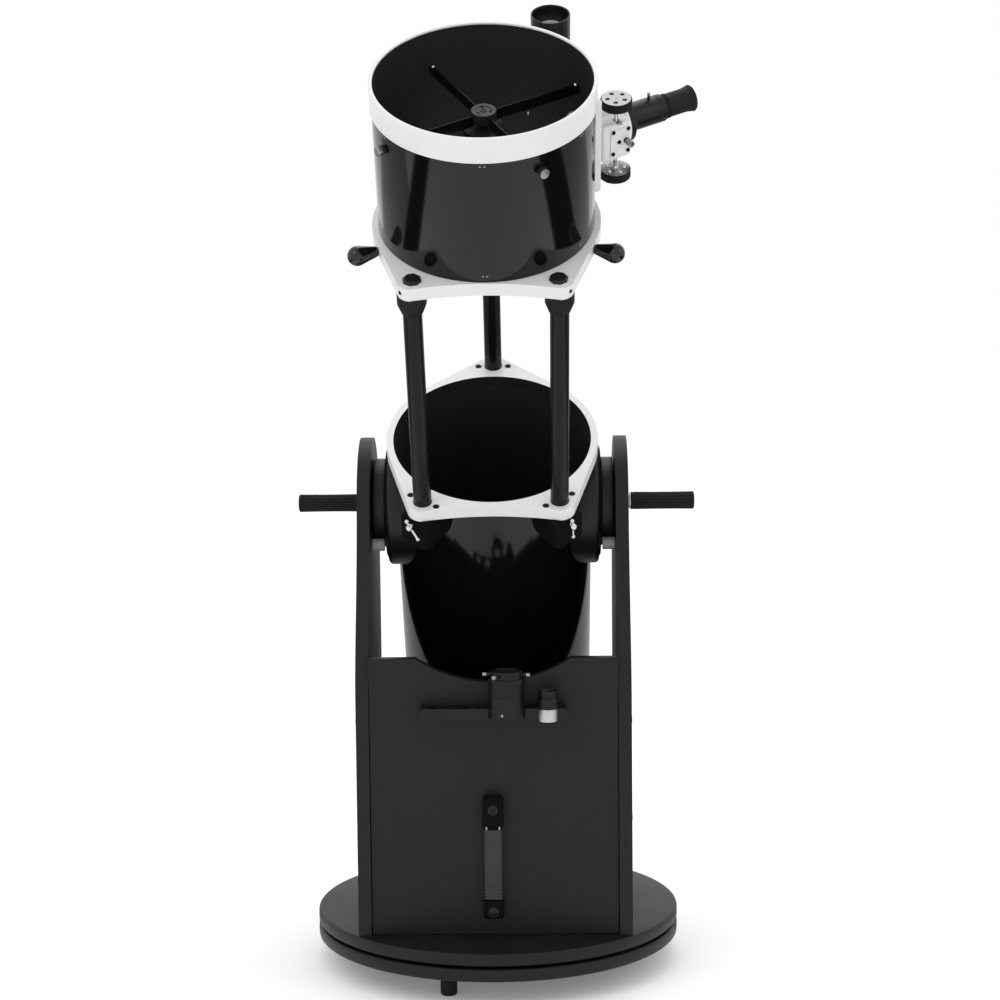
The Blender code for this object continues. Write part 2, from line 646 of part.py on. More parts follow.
def build_lift_knob(side, angle, tube):
    """Teardrop knob that the upper tube is raised by."""
    start, centre = LIFT_KNOB_REACH
    nose = arc((0.0, centre), LIFT_KNOB_RADIUS, radians(90), radians(-15), 4)
    neck = [(0.0075, start + 0.004), (0.0070, start), (0.0, start)]
    profile = [(0.0, centre + LIFT_KNOB_RADIUS)] + nose[1:] + neck
    place(turned(f"lift_knob_{side}", profile, 14), "black_plastic", tube,
          (0.0, 0.0, UPPER_CASTING_TOP - CASTING_THICKNESS / 2), (0.0, pi / 2, radians(angle)))


# Upper tube and its optics

def build_upper_tube(tube):
    inner = TUBE_RADIUS - TUBE_WALL
    bottom = UPPER_CASTING_TOP + GAP
    lip = TOP_RIM - BAND_LIP
    top = lip - GAP
    wall = turned("upper_tube", [(TUBE_RADIUS, top), (TUBE_RADIUS, bottom), (inner, bottom), (inner, top)],
                  ROUND)
    focus_hole = rod("focus_hole", 0.0380, 0.10, 0.25, 24)
    cut(wall, turn_to(focus_hole, (0.0, pi / 2, radians(FOCUSER_ANGLE)), (0.0, 0.0, FOCUSER_HEIGHT)))
    place(wall, "tube_paint", tube)
    low = TOP_RIM - BAND_HEIGHT
    skirt = TUBE_RADIUS + GAP
    band = [(BAND_RADIUS - 0.0015, TOP_RIM), (BAND_RADIUS, TOP_RIM - 0.0015), (BAND_RADIUS, low)]
    inside = [(skirt, low), (skirt, lip), (BAND_OPENING, lip), (BAND_OPENING, TOP_RIM - 0.001),
              (BAND_OPENING + 0.001, TOP_RIM)]
    place(turned("top_ring", band + inside, ROUND), "casting_paint", tube)


def build_spider(tube):
    """Hub on four thin vanes that reach the tube wall."""
    reach = TUBE_RADIUS - TUBE_WALL - 0.0015
    spider = rod("spider", 0.0200, SPIDER_HUB_TOP - SPIDER_HUB_DEPTH, SPIDER_HUB_TOP, 24)
    for angle in SPIDER_ANGLES:
        vane = box("vane", (0.010, -0.0009, SPIDER_HEIGHT - 0.0100), (reach, 0.0009, SPIDER_HEIGHT + 0.0100))
        join(spider, turn_to(vane, (0.0, 0.0, radians(angle))))
    place(spider, "black_plastic", tube)


def build_secondary(tube):
    """Elliptical flat mirror at 45 degrees on its holder, below the spider's hub."""
    radius = SECONDARY_RADIUS - 0.002
    low = FOCUSER_HEIGHT - 0.06
    tilt = radians(-45.0)
    away = (0.0, tilt, radians(FOCUSER_ANGLE))
    slab_centre = (0.0, 0.0, FOCUSER_HEIGHT)
    mirror = rod("secondary_mirror", SECONDARY_RADIUS, low, FOCUSER_HEIGHT + 0.06, 32)
    slab = turn_to(box("slab", (-0.1, -0.1, 0.0), (0.1, 0.1, SECONDARY_THICKNESS)), away, slab_centre)
    place(combine(mirror, slab, "INTERSECT"), "mirror", tube)
    holder = rod("secondary_holder", radius, low, 0.7780, 32)
    behind = SECONDARY_THICKNESS + GAP
    waste = turn_to(box("waste", (-0.2, -0.2, -0.2), (0.2, 0.2, behind)), away, slab_centre)
    cut(holder, waste)
    join(holder, rod("stem", 0.0060, 0.7700, SPIDER_HUB_TOP - SPIDER_HUB_DEPTH - GAP, 16))
    place(holder, "black_plastic", tube)


def focuser_frame(tube):
    """Frame on the tube axis at the focuser's height: X out along the drawtube, Y to the back."""
    return empty("focuser_axis", (0.0, 0.0, FOCUSER_HEIGHT), (0.0, 0.0, radians(FOCUSER_ANGLE)), tube)


def build_focuser_body(frame):
    """Saddle plate, round body and the block that carries the focus axle."""
    body = box("focuser_body", (0.160, -0.0520, -0.0850), (0.1860, 0.0520, 0.0850))
    soften(body, 0.004)
    join(body, turn_to(rod("barrel", 0.0400, 0.1800, 0.2500, 32), ALONG_X))
    join(body, box("axle_block", (0.1860, -0.0525, -0.0330), (0.2470, -0.0150, 0.0330)))
    cut(body, turn_to(rod("tube", TUBE_RADIUS + GAP, -0.2, 0.2, ROUND), (0.0, 0.0, radians(-FOCUSER_ANGLE))))
    cut(body, turn_to(rod("bore", DRAWTUBE_RADIUS + 2 * GAP, 0.10, 0.30, 28), ALONG_X))
    cut(body, box("rail_slot", (0.10, -0.0370, -0.0046), (0.30, 0.0, 0.0046)))
    axle_bore = rod("axle_bore", AXLE_RADIUS + 2 * GAP, -0.1, 0.1, 12)
    cut(body, turn_to(axle_bore, (0.0, 0.0, 0.0), (KNOB_REACH, -KNOB_OFFSET, 0.0)))
    place(body, "casting_paint", frame)


def build_drawtube(frame):
    """Sliding tube with its clamp collar outside and the flat rail that the axle drives."""
    inner = 0.1640
    bore = 0.0258
    rim, outer = COLLAR_FACES
    profile = [(0.0350, outer), (0.0360, outer - 0.001), (0.0360, rim), (DRAWTUBE_RADIUS, rim),
               (DRAWTUBE_RADIUS, inner), (bore, inner), (bore, outer)]
    drawtube = turned("focuser_drawtube", profile, 28)
    # the drawtube's own X points along the tube axis, so the rail lies on its -Y side
    rail = box("rail", (-0.0040, -KNOB_OFFSET + AXLE_RADIUS + GAP, inner), (0.0040, -0.0270, rim + 0.001))
    join(drawtube, rail)
    place(drawtube, "black_plastic", frame, rotation=ALONG_X)


def build_focus_knobs(frame):
    """Axle with a knob at each end."""
    half, knob, r = KNOB_HALF_LENGTH, KNOB_THICKNESS, KNOB_RADIUS
    upper = [(0.0, half), (r - 0.001, half), (r, half - 0.001), (r, half - knob), (AXLE_RADIUS, half - knob)]
    profile = upper + [(radius, -height) for radius, height in reversed(upper)]
    place(turned("focus_knobs", profile, 24), "chrome", frame, (KNOB_REACH, -KNOB_OFFSET, 0.0))


def build_eyepiece(frame):
    """Adapter in the drawtube's collar, and the eyepiece that it holds."""
    shell, nose, bore = 0.0228, 0.0254, 0.0161
    seat = ADAPTER_SEAT
    adapter = [(0.0215, seat), (shell, seat - 0.0015), (shell, 0.2630), (nose, 0.2623), (nose, 0.2300),
               (bore, 0.2300), (bore, seat)]
    place(turned("eyepiece_adapter", adapter, 24), "black_plastic", frame, rotation=ALONG_X)
    low, cup = seat + GAP, EYEPIECE_END
    eyepiece = [(0.0195, cup), (0.0222, cup - 0.001), (0.0200, cup - 0.010),
                (0.0198, low + 0.012), (0.0205, low + 0.010), (0.0205, low), (BARREL_RADIUS, low),
                (BARREL_RADIUS, low - 0.028), (0.0, low - 0.028)]
    place(turned("focuser_eyepiece", [(0.0, cup - 0.006), (0.0130, cup - 0.006)] + eyepiece, 16),
          "black_plastic", frame, rotation=ALONG_X)


def build_finder(tube):
    """Finder scope beside the focuser, its lens set back in a dew shield, and its bracket."""
    frame = empty("finder_axis", (*spoke(FINDER_CIRCLE, FINDER_ANGLE), 0.0),
                  (0.0, 0.0, radians(FINDER_ANGLE)), tube)
    top, lens = 0.8565, 0.8400
    profile = [(0.0, lens), (0.0270, lens), (0.0290, top), (0.0320, top), (0.0320, 0.7750),
               (0.0270, 0.7700), (0.0270, 0.6700), (0.0165, 0.6600), (0.0175, 0.6350), (0.0180, 0.6150),
               (0.0140, 0.6130), (0.0, 0.6140)]
    place(turned("finder_scope", profile, 20), "black_plastic", frame)
    build_finder_bracket(frame)


def build_finder_bracket(frame):
    """Ring round the finder on a stalk, and the shoe that the stalk slides into on the tube."""
    low, high = 0.6900, 0.7560
    inner, outer = 0.0278, 0.0335
    bracket = turned("finder_bracket", [(outer, high), (outer, low), (inner, low), (inner, high)], 20)
    tube_face = TUBE_RADIUS - FINDER_CIRCLE
    join(bracket, box("stalk", (tube_face + 0.006, -0.0080, low), (-inner - 0.002, 0.0080, high)))
    shoe = box("shoe", (tube_face - 0.008, -0.0190, low - 0.004),
               (tube_face + 0.010, 0.0190, high + 0.004))
    join(bracket, shoe)
    seat = rod("seat", TUBE_RADIUS + GAP, 0.60, 0.80, ROUND)
    cut(bracket, turn_to(seat, (0.0, 0.0, radians(-FINDER_ANGLE)), (-FINDER_CIRCLE, 0.0, 0.0)))
    place(bracket, "black_plastic", frame)


def build_tube_assembly(tube):
    build_lower_tube(tube)
    build_mirror(tube)
    for side, sign in (("left", -1), ("right", 1)):
        build_altitude_bearing(side, sign, tube)
    build_altitude_handle("fixed_handle", -1, *HANDLE_ENDS["fixed"], tube)
    build_altitude_handle("tension_handle", 1, *HANDLE_ENDS["tension"], tube)
    build_casting("lower", LOWER_CASTING_TOP, STRUT_RADIUS + 2 * GAP, guide_screw_holes(), tube)
    for side, angle in STRUT_ANGLES.items():
        build_strut_guide(side, angle, tube)
        build_lock_screw(side, angle, tube)


def build_upper_assembly(tube):
    build_casting("upper", UPPER_CASTING_TOP, CAP_HOLE, [], tube)
    for side, angle in STRUT_ANGLES.items():
        build_strut(side, angle, tube)
    for side, angle in LIFT_KNOB_ANGLES.items():
        build_lift_knob(side, angle, tube)
    build_upper_tube(tube)
    build_spider(tube)
    build_secondary(tube)
    frame = focuser_frame(tube)
    build_focuser_body(frame)
    build_drawtube(frame)
    build_focus_knobs(frame)
    build_eyepiece(frame)
    build_finder(tube)


def main():
    reset_scene()
    base = empty("azimuth_axis", (0.0, AZIMUTH_Y, 0.0))
    tube = empty("altitude_axis", (0.0, 0.0, PIVOT_HEIGHT), (TUBE_TILT, 0.0, 0.0), base)
    build_ground(base)
    build_rocker(base)
    build_tube_assembly(tube)
    build_upper_assembly(tube)


main()
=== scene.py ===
"""Looks of the collapsible Newtonian telescope on its rocker box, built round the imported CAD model."""

import json
from math import asin, cos, degrees, pi, radians, sin, tau

import bmesh
import bpy
from mathutils import Matrix, Vector


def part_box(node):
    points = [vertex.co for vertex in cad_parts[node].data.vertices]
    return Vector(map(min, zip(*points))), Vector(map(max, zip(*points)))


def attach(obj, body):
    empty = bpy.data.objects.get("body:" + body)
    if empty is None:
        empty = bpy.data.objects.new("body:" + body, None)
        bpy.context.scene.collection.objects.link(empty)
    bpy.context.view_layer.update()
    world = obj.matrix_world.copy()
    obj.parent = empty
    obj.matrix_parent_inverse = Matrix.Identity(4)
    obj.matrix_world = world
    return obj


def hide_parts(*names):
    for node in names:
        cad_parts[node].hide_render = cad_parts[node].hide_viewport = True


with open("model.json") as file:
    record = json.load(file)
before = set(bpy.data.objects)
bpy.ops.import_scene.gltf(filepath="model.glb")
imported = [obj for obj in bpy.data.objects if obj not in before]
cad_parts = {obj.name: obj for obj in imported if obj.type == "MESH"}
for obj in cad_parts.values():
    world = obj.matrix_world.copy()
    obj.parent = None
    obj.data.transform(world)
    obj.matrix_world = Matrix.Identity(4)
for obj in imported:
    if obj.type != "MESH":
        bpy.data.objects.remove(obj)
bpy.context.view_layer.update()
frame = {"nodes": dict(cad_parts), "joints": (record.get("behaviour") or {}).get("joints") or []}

# Frames that the pieces are placed in
JOINTS = {joint["name"]: joint for joint in frame["joints"]}
AXIS = Vector(JOINTS["azimuth"]["pos_m"])
PIVOT = Vector(JOINTS["altitude"]["pos_m"])
ALONG = Vector(JOINTS["tube_slide"]["axis"])
ACROSS = Vector((1.0, 0.0, 0.0))
BEHIND = ALONG.cross(ACROSS)
TUBE = Matrix.Translation(PIVOT) @ Matrix((ACROSS, BEHIND, ALONG)).transposed().to_4x4()
BASE = Matrix.Translation(AXIS)
SIDES = {"left": -1, "right": 1}

# Sizes in metres along and round the tube, as the CAD model has them
GAP = 0.0003                     # between neighbouring pieces
TUBE_RADIUS = 0.1747
TUBE_INNER = 0.1727
TUBE_BOTTOM = -0.545
STRUT_CIRCLE = 0.2055
STRUT_RADIUS = 0.0155
STRUT_ANGLES = {"left": -124.4, "right": -55.6, "rear": 90.0}
CASTING_THICKNESS = 0.0225
LOWER_TOP = 0.1492
UPPER_TOP = 0.6036
CASTING_MIDDLE = UPPER_TOP - CASTING_THICKNESS / 2
RIM = 0.8651
MIRROR_RADIUS = 0.1525
MIRROR_FACE = -0.478
MIRROR_BACK = -0.514
COLLIMATION_CIRCLE = 0.125
COLLIMATION_ANGLES = (30, 150, 270)
FOCUSER_ANGLE = 30.0
FOCUSER_HEIGHT = 0.709
FINDER_ANGLE = 63.4
FINDER_CIRCLE = 0.237
SPIDER_HEIGHT = 0.7935
SPIDER_ANGLES = (30.0, 120.0, 210.0, 300.0)
SMOOTH = 144                     # sides of the large round pieces
FINE = 64                        # sides of the small ones

# Sizes of the rocker box, heights above the floor
BOARD = 0.0224                   # thickness of every laminated board
PANEL_FOOT = 0.0953
BOLT_RADIUS = 0.0063             # holes for the azimuth bolt and the altitude shafts
DISC_FACES = (0.1905, 0.2118)    # near and far side of each altitude disc, from the middle


# Materials

def finish(name, colour, roughness, metallic=0.0, coat=0.0, scale=500.0, tint=0.12, spread=0.04,
           bump=0.05, depth=0.0002, stretch=(1.0, 1.0, 1.0), patches=0.0, gloss=0.5):
    """A Principled material whose colour, roughness and surface follow a fine noise."""
    made = bpy.data.materials.new(name)
    made.use_nodes = True
    nodes, links = made.node_tree.nodes, made.node_tree.links
    shader = nodes["Principled BSDF"]
    coords = nodes.new("ShaderNodeTexCoord")
    mapping = nodes.new("ShaderNodeMapping")
    mapping.inputs["Scale"].default_value = stretch
    links.new(coords.outputs["Object"], mapping.inputs["Vector"])
    grain = nodes.new("ShaderNodeTexNoise")
    grain.inputs["Scale"].default_value = scale
    grain.inputs["Detail"].default_value = 4.0
    links.new(mapping.outputs["Vector"], grain.inputs["Vector"])
    mix = nodes.new("ShaderNodeMix")
    mix.data_type = "RGBA"
    mix.inputs["A"].default_value = (*(c * (1 - tint) for c in colour), 1.0)
    mix.inputs["B"].default_value = (*(min(1.0, c * (1 + tint)) for c in colour), 1.0)
    links.new(grain.outputs["Fac"], mix.inputs["Factor"])
    links.new(mix.outputs["Result"], shader.inputs["Base Color"])
    rough = nodes.new("ShaderNodeMapRange")
    rough.inputs["To Min"].default_value = max(0.0, roughness - spread)
    rough.inputs["To Max"].default_value = min(1.0, roughness + spread)
    source = grain
    if patches:
        source = nodes.new("ShaderNodeTexNoise")
        source.inputs["Scale"].default_value = patches
        source.inputs["Detail"].default_value = 3.0
        links.new(coords.outputs["Object"], source.inputs["Vector"])
    links.new(source.outputs["Fac"], rough.inputs["Value"])
    links.new(rough.outputs["Result"], shader.inputs["Roughness"])
    relief = nodes.new("ShaderNodeBump")
    relief.inputs["Strength"].default_value = bump
    relief.inputs["Distance"].default_value = depth
    links.new(grain.outputs["Fac"], relief.inputs["Height"])
    links.new(relief.outputs["Normal"], shader.inputs["Normal"])
    shader.inputs["Metallic"].default_value = metallic
    shader.inputs["Specular IOR Level"].default_value = gloss
    shader.inputs["Coat Weight"].default_value = coat
    shader.inputs["Coat Roughness"].default_value = 0.05
    return made


def glass_finish():
    """Coated lens glass, dark with a faint green reflection."""
    made = finish("lens_glass", (0.012, 0.013, 0.011), 0.05, coat=0.25, scale=40.0, tint=0.3, spread=0.01,
                  bump=0.0)
    made.node_tree.nodes["Principled BSDF"].inputs["Coat Tint"].default_value = (0.80, 1.0, 0.90, 1.0)
    return made


MATERIALS = {
    "laminate": finish("laminate", (0.0088, 0.0085, 0.0102), 0.44, scale=700.0, tint=0.60, spread=0.07,
                       bump=0.22, patches=9.0, gloss=0.22),
    "tube_paint": finish("tube_paint", (0.0030, 0.0030, 0.0032), 0.10, scale=90.0, tint=0.15, spread=0.03,
                         bump=0.015, patches=6.0, gloss=0.36),
    "inner_paint": finish("inner_paint", (0.008, 0.008, 0.008), 0.62, scale=700.0, tint=0.3, bump=0.15,
                          gloss=0.3),
    "cast_white": finish("cast_white", (0.70, 0.70, 0.705), 0.34, scale=420.0, tint=0.02, bump=0.05,
                         patches=14.0),
    "strut_paint": finish("strut_paint", (0.004, 0.004, 0.004), 0.28, scale=500.0, tint=0.2, bump=0.04,
                          stretch=(1.0, 1.0, 0.15), gloss=0.20),
    "black_plastic": finish("black_plastic", (0.006, 0.006, 0.0075), 0.38, scale=1100.0, tint=0.25, bump=0.12,
                            gloss=0.28),
    "black_metal": finish("black_metal", (0.0045, 0.0045, 0.005), 0.33, scale=900.0, tint=0.2, bump=0.05,
                          gloss=0.26),
    "grey_metal": finish("grey_metal", (0.020, 0.020, 0.021), 0.36, scale=900.0, tint=0.2, bump=0.05,
                         gloss=0.3),
    "gloss_black": finish("gloss_black", (0.003, 0.003, 0.003), 0.08, scale=120.0, bump=0.01, patches=30.0),
    "black_rubber": finish("black_rubber", (0.0065, 0.0065, 0.0070), 0.58, scale=1300.0, tint=0.3, bump=0.25,
                           gloss=0.2),
    "grip_rubber": finish("grip_rubber", (0.030, 0.030, 0.032), 0.62, scale=1200.0, tint=0.25, bump=0.3,
                          gloss=0.4),
    "nylon": finish("nylon", (0.33, 0.35, 0.35), 0.45, scale=300.0, tint=0.06, bump=0.05),
    "chrome": finish("chrome", (0.62, 0.62, 0.64), 0.13, metallic=1.0, scale=600.0, tint=0.05, bump=0.02,
                     patches=60.0),
    "brushed": finish("brushed", (0.31, 0.31, 0.32), 0.28, metallic=1.0, scale=400.0, tint=0.10, bump=0.08),
    "mirror": finish("mirror", (0.90, 0.91, 0.92), 0.02, metallic=1.0, scale=50.0, tint=0.01, spread=0.01,
                     bump=0.0),
    "satin_metal": finish("satin_metal", (0.50, 0.50, 0.51), 0.42, metallic=0.8, scale=500.0, tint=0.08,
                          bump=0.03),
    "ground_glass": finish("ground_glass", (0.16, 0.18, 0.17), 0.45, scale=500.0, tint=0.06, bump=0.1,
                           patches=9.0),
    "dark": finish("dark", (0.002, 0.002, 0.002), 0.8, scale=500.0, gloss=0.1),
    "half_tone": finish("half_tone", (0.42, 0.42, 0.42), 0.8, scale=3.0, bump=0.0),
    "lens_glass": glass_finish(),
}


# Shapes

def solid(name, bm, matrix, sharp=38.0):
    """An object in the model's frame from a mesh in its own frame, smooth across shallow edges."""
    bmesh.ops.recalc_face_normals(bm, faces=bm.faces)
    mesh = bpy.data.meshes.new(name)
    bm.to_mesh(mesh)
    bm.free()
    mesh.shade_smooth()
    mesh.set_sharp_from_angle(angle=radians(sharp))
    piece = bpy.data.objects.new(name, mesh)
    bpy.context.scene.collection.objects.link(piece)
    piece.matrix_world = matrix
    return piece


def settle(piece):
    """Put a piece's own place into its mesh."""
    piece.data.transform(piece.matrix_world)
    piece.matrix_world = Matrix.Identity(4)
    return piece


def rounded(points, radius, closed, steps=3):
    """An outline whose corners are rounded off, as far as its sides allow."""
    count = len(points)
    result = []
    for i, corner in enumerate(points):
        if not closed and i in (0, count - 1):
            result.append(corner)
            continue
        here = Vector(corner)
        before, after = Vector(points[i - 1]) - here, Vector(points[(i + 1) % count]) - here
        reach = min(radius, before.length * 0.45, after.length * 0.45)
        if before.angle(after, 0.0) > radians(160.0):
            result.append(corner)
            continue
        start, end = here + before.normalized() * reach, here + after.normalized() * reach
        for k in range(steps + 1):
            t = k / steps
            point = start * (1 - t) ** 2 + here * 2 * t * (1 - t) + end * t * t
            result.append((point.x, point.y))
    return result


def lathe(name, profile, matrix, sides=FINE, edge=0.0008, flutes=None, sharp=38.0):
    """A profile of (radius, height) turned about its Z. It is a ring unless it starts on the axis.

    flutes is (count, depth, low, high): grooves in the outer surface between two heights.
    """
    ring = profile[0][0] > 0.0
    if edge:
        profile = rounded(profile, edge, ring)
    widest = max(radius for radius, height in profile)
    bm = bmesh.new()
    rows = []
    for radius, height in profile:
        if radius < 1e-7:
            rows.append([bm.verts.new((0.0, 0.0, height))])
            continue
        row = []
        for i in range(sides):
            angle, r = tau * i / sides, radius
            if flutes and flutes[2] <= height <= flutes[3] and radius > 0.8 * widest:
                r -= flutes[1] * (0.5 - 0.5 * cos(flutes[0] * angle)) ** 2
            row.append(bm.verts.new((r * cos(angle), r * sin(angle), height)))
        rows.append(row)
    pairs = list(zip(rows, rows[1:])) + ([(rows[-1], rows[0])] if ring else [])
    for first, second in pairs:
        for i in range(sides):
            j = (i + 1) % sides
            if len(first) == 1 and len(second) == 1:
                continue
            if len(first) == 1:
                bm.faces.new((first[0], second[i], second[j]))
            elif len(second) == 1:
                bm.faces.new((first[i], second[0], first[j]))
            else:
                bm.faces.new((first[i], second[i], second[j], first[j]))
    return solid(name, bm, matrix, sharp)


def rod(name, radius, low, high, matrix, sides=FINE):
    """A plain cylinder, used to carve holes."""
    return lathe(name, [(0.0, high), (radius, high), (radius, low), (0.0, low)], matrix, sides, 0.0)


def block(name, low, high, matrix, edge=0.0):
    """A block with rounded edges."""
    bm = bmesh.new()
    middle, size = (Vector(low) + Vector(high)) / 2, Vector(high) - Vector(low)
    bmesh.ops.create_cube(bm, size=1.0, matrix=Matrix.Translation(middle) @ Matrix.Diagonal((*size, 1.0)))
    if edge:
        bmesh.ops.bevel(bm, geom=bm.edges[:], offset=edge, segments=3, profile=0.5, affect="EDGES")
    return solid(name, bm, matrix)


def slab(name, outlines, low, high, matrix, edge):
    """A flat outline with holes, between two heights, its edges rounded."""
    curve = bpy.data.curves.new(name, "CURVE")
    curve.dimensions = "2D"
    curve.fill_mode = "BOTH"
    curve.extrude = (high - low) / 2
    for outline in outlines:
        spline = curve.splines.new("POLY")
        spline.points.add(len(outline) - 1)
        for point, (x, y) in zip(spline.points, outline):
            point.co = (x, y, 0.0, 1.0)
        spline.use_cyclic_u = True
    guide = bpy.data.objects.new(name + "_outline", curve)
    bpy.context.scene.collection.objects.link(guide)
    bpy.context.view_layer.update()
    mesh = bpy.data.meshes.new_from_object(guide.evaluated_get(bpy.context.evaluated_depsgraph_get()))
    bpy.data.objects.remove(guide, do_unlink=True)
    bm = bmesh.new()
    bm.from_mesh(mesh)
    bmesh.ops.remove_doubles(bm, verts=bm.verts, dist=0.00002)
    bmesh.ops.translate(bm, verts=bm.verts, vec=(0.0, 0.0, (low + high) / 2))
    bpy.data.meshes.remove(mesh)
    return soften(solid(name, bm, matrix), edge)


def soften(piece, width, segments=3, angle=40.0):
    """Rounded edges that catch the light."""
    bevel = piece.modifiers.new("rounded_edges", "BEVEL")
    bevel.width = width
    bevel.segments = segments
    bevel.limit_method = "ANGLE"
    bevel.angle_limit = radians(angle)
    bevel.harden_normals = True
    return piece


def carve(piece, *tools):
    """Cut shapes out of a piece and keep only the result."""
    for tool in tools:
        cut = piece.modifiers.new("cut", "BOOLEAN")
        cut.operation = "DIFFERENCE"
        cut.solver = "EXACT"
        cut.object = tool
    bpy.context.view_layer.update()
    mesh = bpy.data.meshes.new_from_object(piece.evaluated_get(bpy.context.evaluated_depsgraph_get()))
    piece.modifiers.clear()
    piece.data = mesh
    mesh.shade_smooth()
    mesh.set_sharp_from_angle(angle=radians(38.0))
    for tool in tools:
        bpy.data.objects.remove(tool, do_unlink=True)
    return piece


def dress(piece, body, material, *nodes):
    """Material, body, and the CAD nodes that the piece stands for."""
    piece.data.materials.clear()
    piece.data.materials.append(MATERIALS[material])
    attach(piece, body)
    if nodes:
        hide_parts(*nodes)
    return piece


def second_material(piece, material, chosen):
    """Another material on the faces whose centre, in the piece's own frame, is chosen."""
    piece.data.materials.append(MATERIALS[material])
    for face in piece.data.polygons:
        if chosen(face.center, face.normal):
            face.material_index = len(piece.data.materials) - 1
    return piece


def keep(node, material, width=0.0):
    """A CAD node that stays, with its finish and rounded edges."""
    piece = frame["nodes"][node]
    piece.data.materials.clear()
    piece.data.materials.append(MATERIALS[material])
    if width:
        soften(piece, width, 2)
    return piece


# Places

def turn(axis, angle):
    return Matrix.Rotation(radians(angle), 4, axis)


def move(x, y, z):
    return Matrix.Translation((x, y, z))


def spoke(radius, angle):
    return radius * cos(radians(angle)), radius * sin(radians(angle))


def on_tube(radius, angle, height):
    """Frame on the tube: X outwards, Z along the tube."""
    return TUBE @ turn("Z", angle) @ move(radius, 0.0, height)


def outwards(radius, angle, height):
    """Frame on the tube: Z outwards, X down the tube."""
    return on_tube(radius, angle, height) @ turn("Y", 90)


def circle(radius, sides, centre=(0.0, 0.0)):
    return [(centre[0] + radius * cos(tau * i / sides), centre[1] + radius * sin(tau * i / sides))
            for i in range(sides)]


def bezier(points, steps):
    """Points along a cubic curve, without its last point."""
    a, b, c, d = (Vector(p) for p in points)
    ways = [i / steps for i in range(steps)]
    curve = [a * (1 - t) ** 3 + b * 3 * t * (1 - t) ** 2 + c * 3 * t * t * (1 - t) + d * t ** 3 for t in ways]
    return [(p.x, p.y) for p in curve]


def arc(centre, radius, start, end, steps):
    angles = [start + (end - start) * i / steps for i in range(steps + 1)]
    return [(centre[0] + radius * cos(a), centre[1] + radius * sin(a)) for a in angles]


def stand(node):
    """Frame at the middle of a node's underside, and the node's height."""
    low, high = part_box(node)
    return Matrix.Translation(((low.x + high.x) / 2, (low.y + high.y) / 2, low.z)), high.z - low.z


# Fasteners

def socket_screw(name, matrix, body, radius=0.004, height=0.003, material="black_metal"):
    """Round head with a socket."""
    floor = height * 0.35
    profile = [(0.0, floor), (radius * 0.45, floor), (radius * 0.5, height), (radius, height * 0.75),
               (radius, 0.0), (0.0, 0.0)]
    return dress(lathe(name, profile, matrix, 24, radius * 0.12), body, material)


def cross_screw(name, matrix, body, radius=0.0045, height=0.0022, material="black_metal"):
    """Low domed head with a cross recess."""
    head = lathe(name, [(0.0, height), (radius * 0.6, height * 0.85), (radius, height * 0.3), (radius, 0.0),
                        (0.0, 0.0)], matrix, 32, 0.0003)
    arm, wide = radius * 0.55, radius * 0.13
    slots = [block("slot", (-arm, -wide, height * 0.4), (arm, wide, height * 2), matrix @ turn("Z", a))
             for a in (45, 135)]
    return dress(carve(head, *slots), body, material)


def thumbscrew(name, matrix, body, radius=0.0065, spacer=0.004, head=0.008):
    """Knurled bright head on a black spacer."""
    foot = [(0.0, spacer), (radius * 0.85, spacer), (radius * 0.9, 0.0), (0.0, 0.0)]
    dress(lathe(name + "_spacer", foot, matrix, 32, 0.0005), body, "black_plastic")
    top, margin = spacer + head, 0.001
    flutes = (24, 0.0005, spacer + margin, top - margin)
    knob = lathe(name, [(0.0, top), (radius, top), (radius, spacer), (0.0, spacer)], matrix, 96, 0.0009, flutes)
    return dress(knob, body, "brushed")


# Ground board and rocker box

def build_boards():
    for node, body in (("ground_board", "ground"), ("rocker_board", "rocker")):
        low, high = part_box(node)
        radius = (high.x - low.x) / 2
        profile = [(radius, high.z), (radius, low.z), (BOLT_RADIUS, low.z), (BOLT_RADIUS, high.z)]
        dress(lathe(node + "_laminated", profile, BASE, 240, 0.0055), body, "laminate", node)
    for node in ("foot_front", "foot_right", "foot_rear"):
        at, tall = stand(node)
        profile = [(0.0, tall), (0.0156, tall), (0.0152, tall * 0.70), (0.0140, tall * 0.66),
                   (0.0146, tall * 0.60), (0.0145, 0.003), (0.0120, 0.0), (0.0, 0.0)]
        dress(lathe(node + "_rubber", profile, at, 48, 0.001), "ground", "black_rubber", node)
    keep("azimuth_bearing", "nylon")
    keep("azimuth_bolt", "chrome", 0.0003)


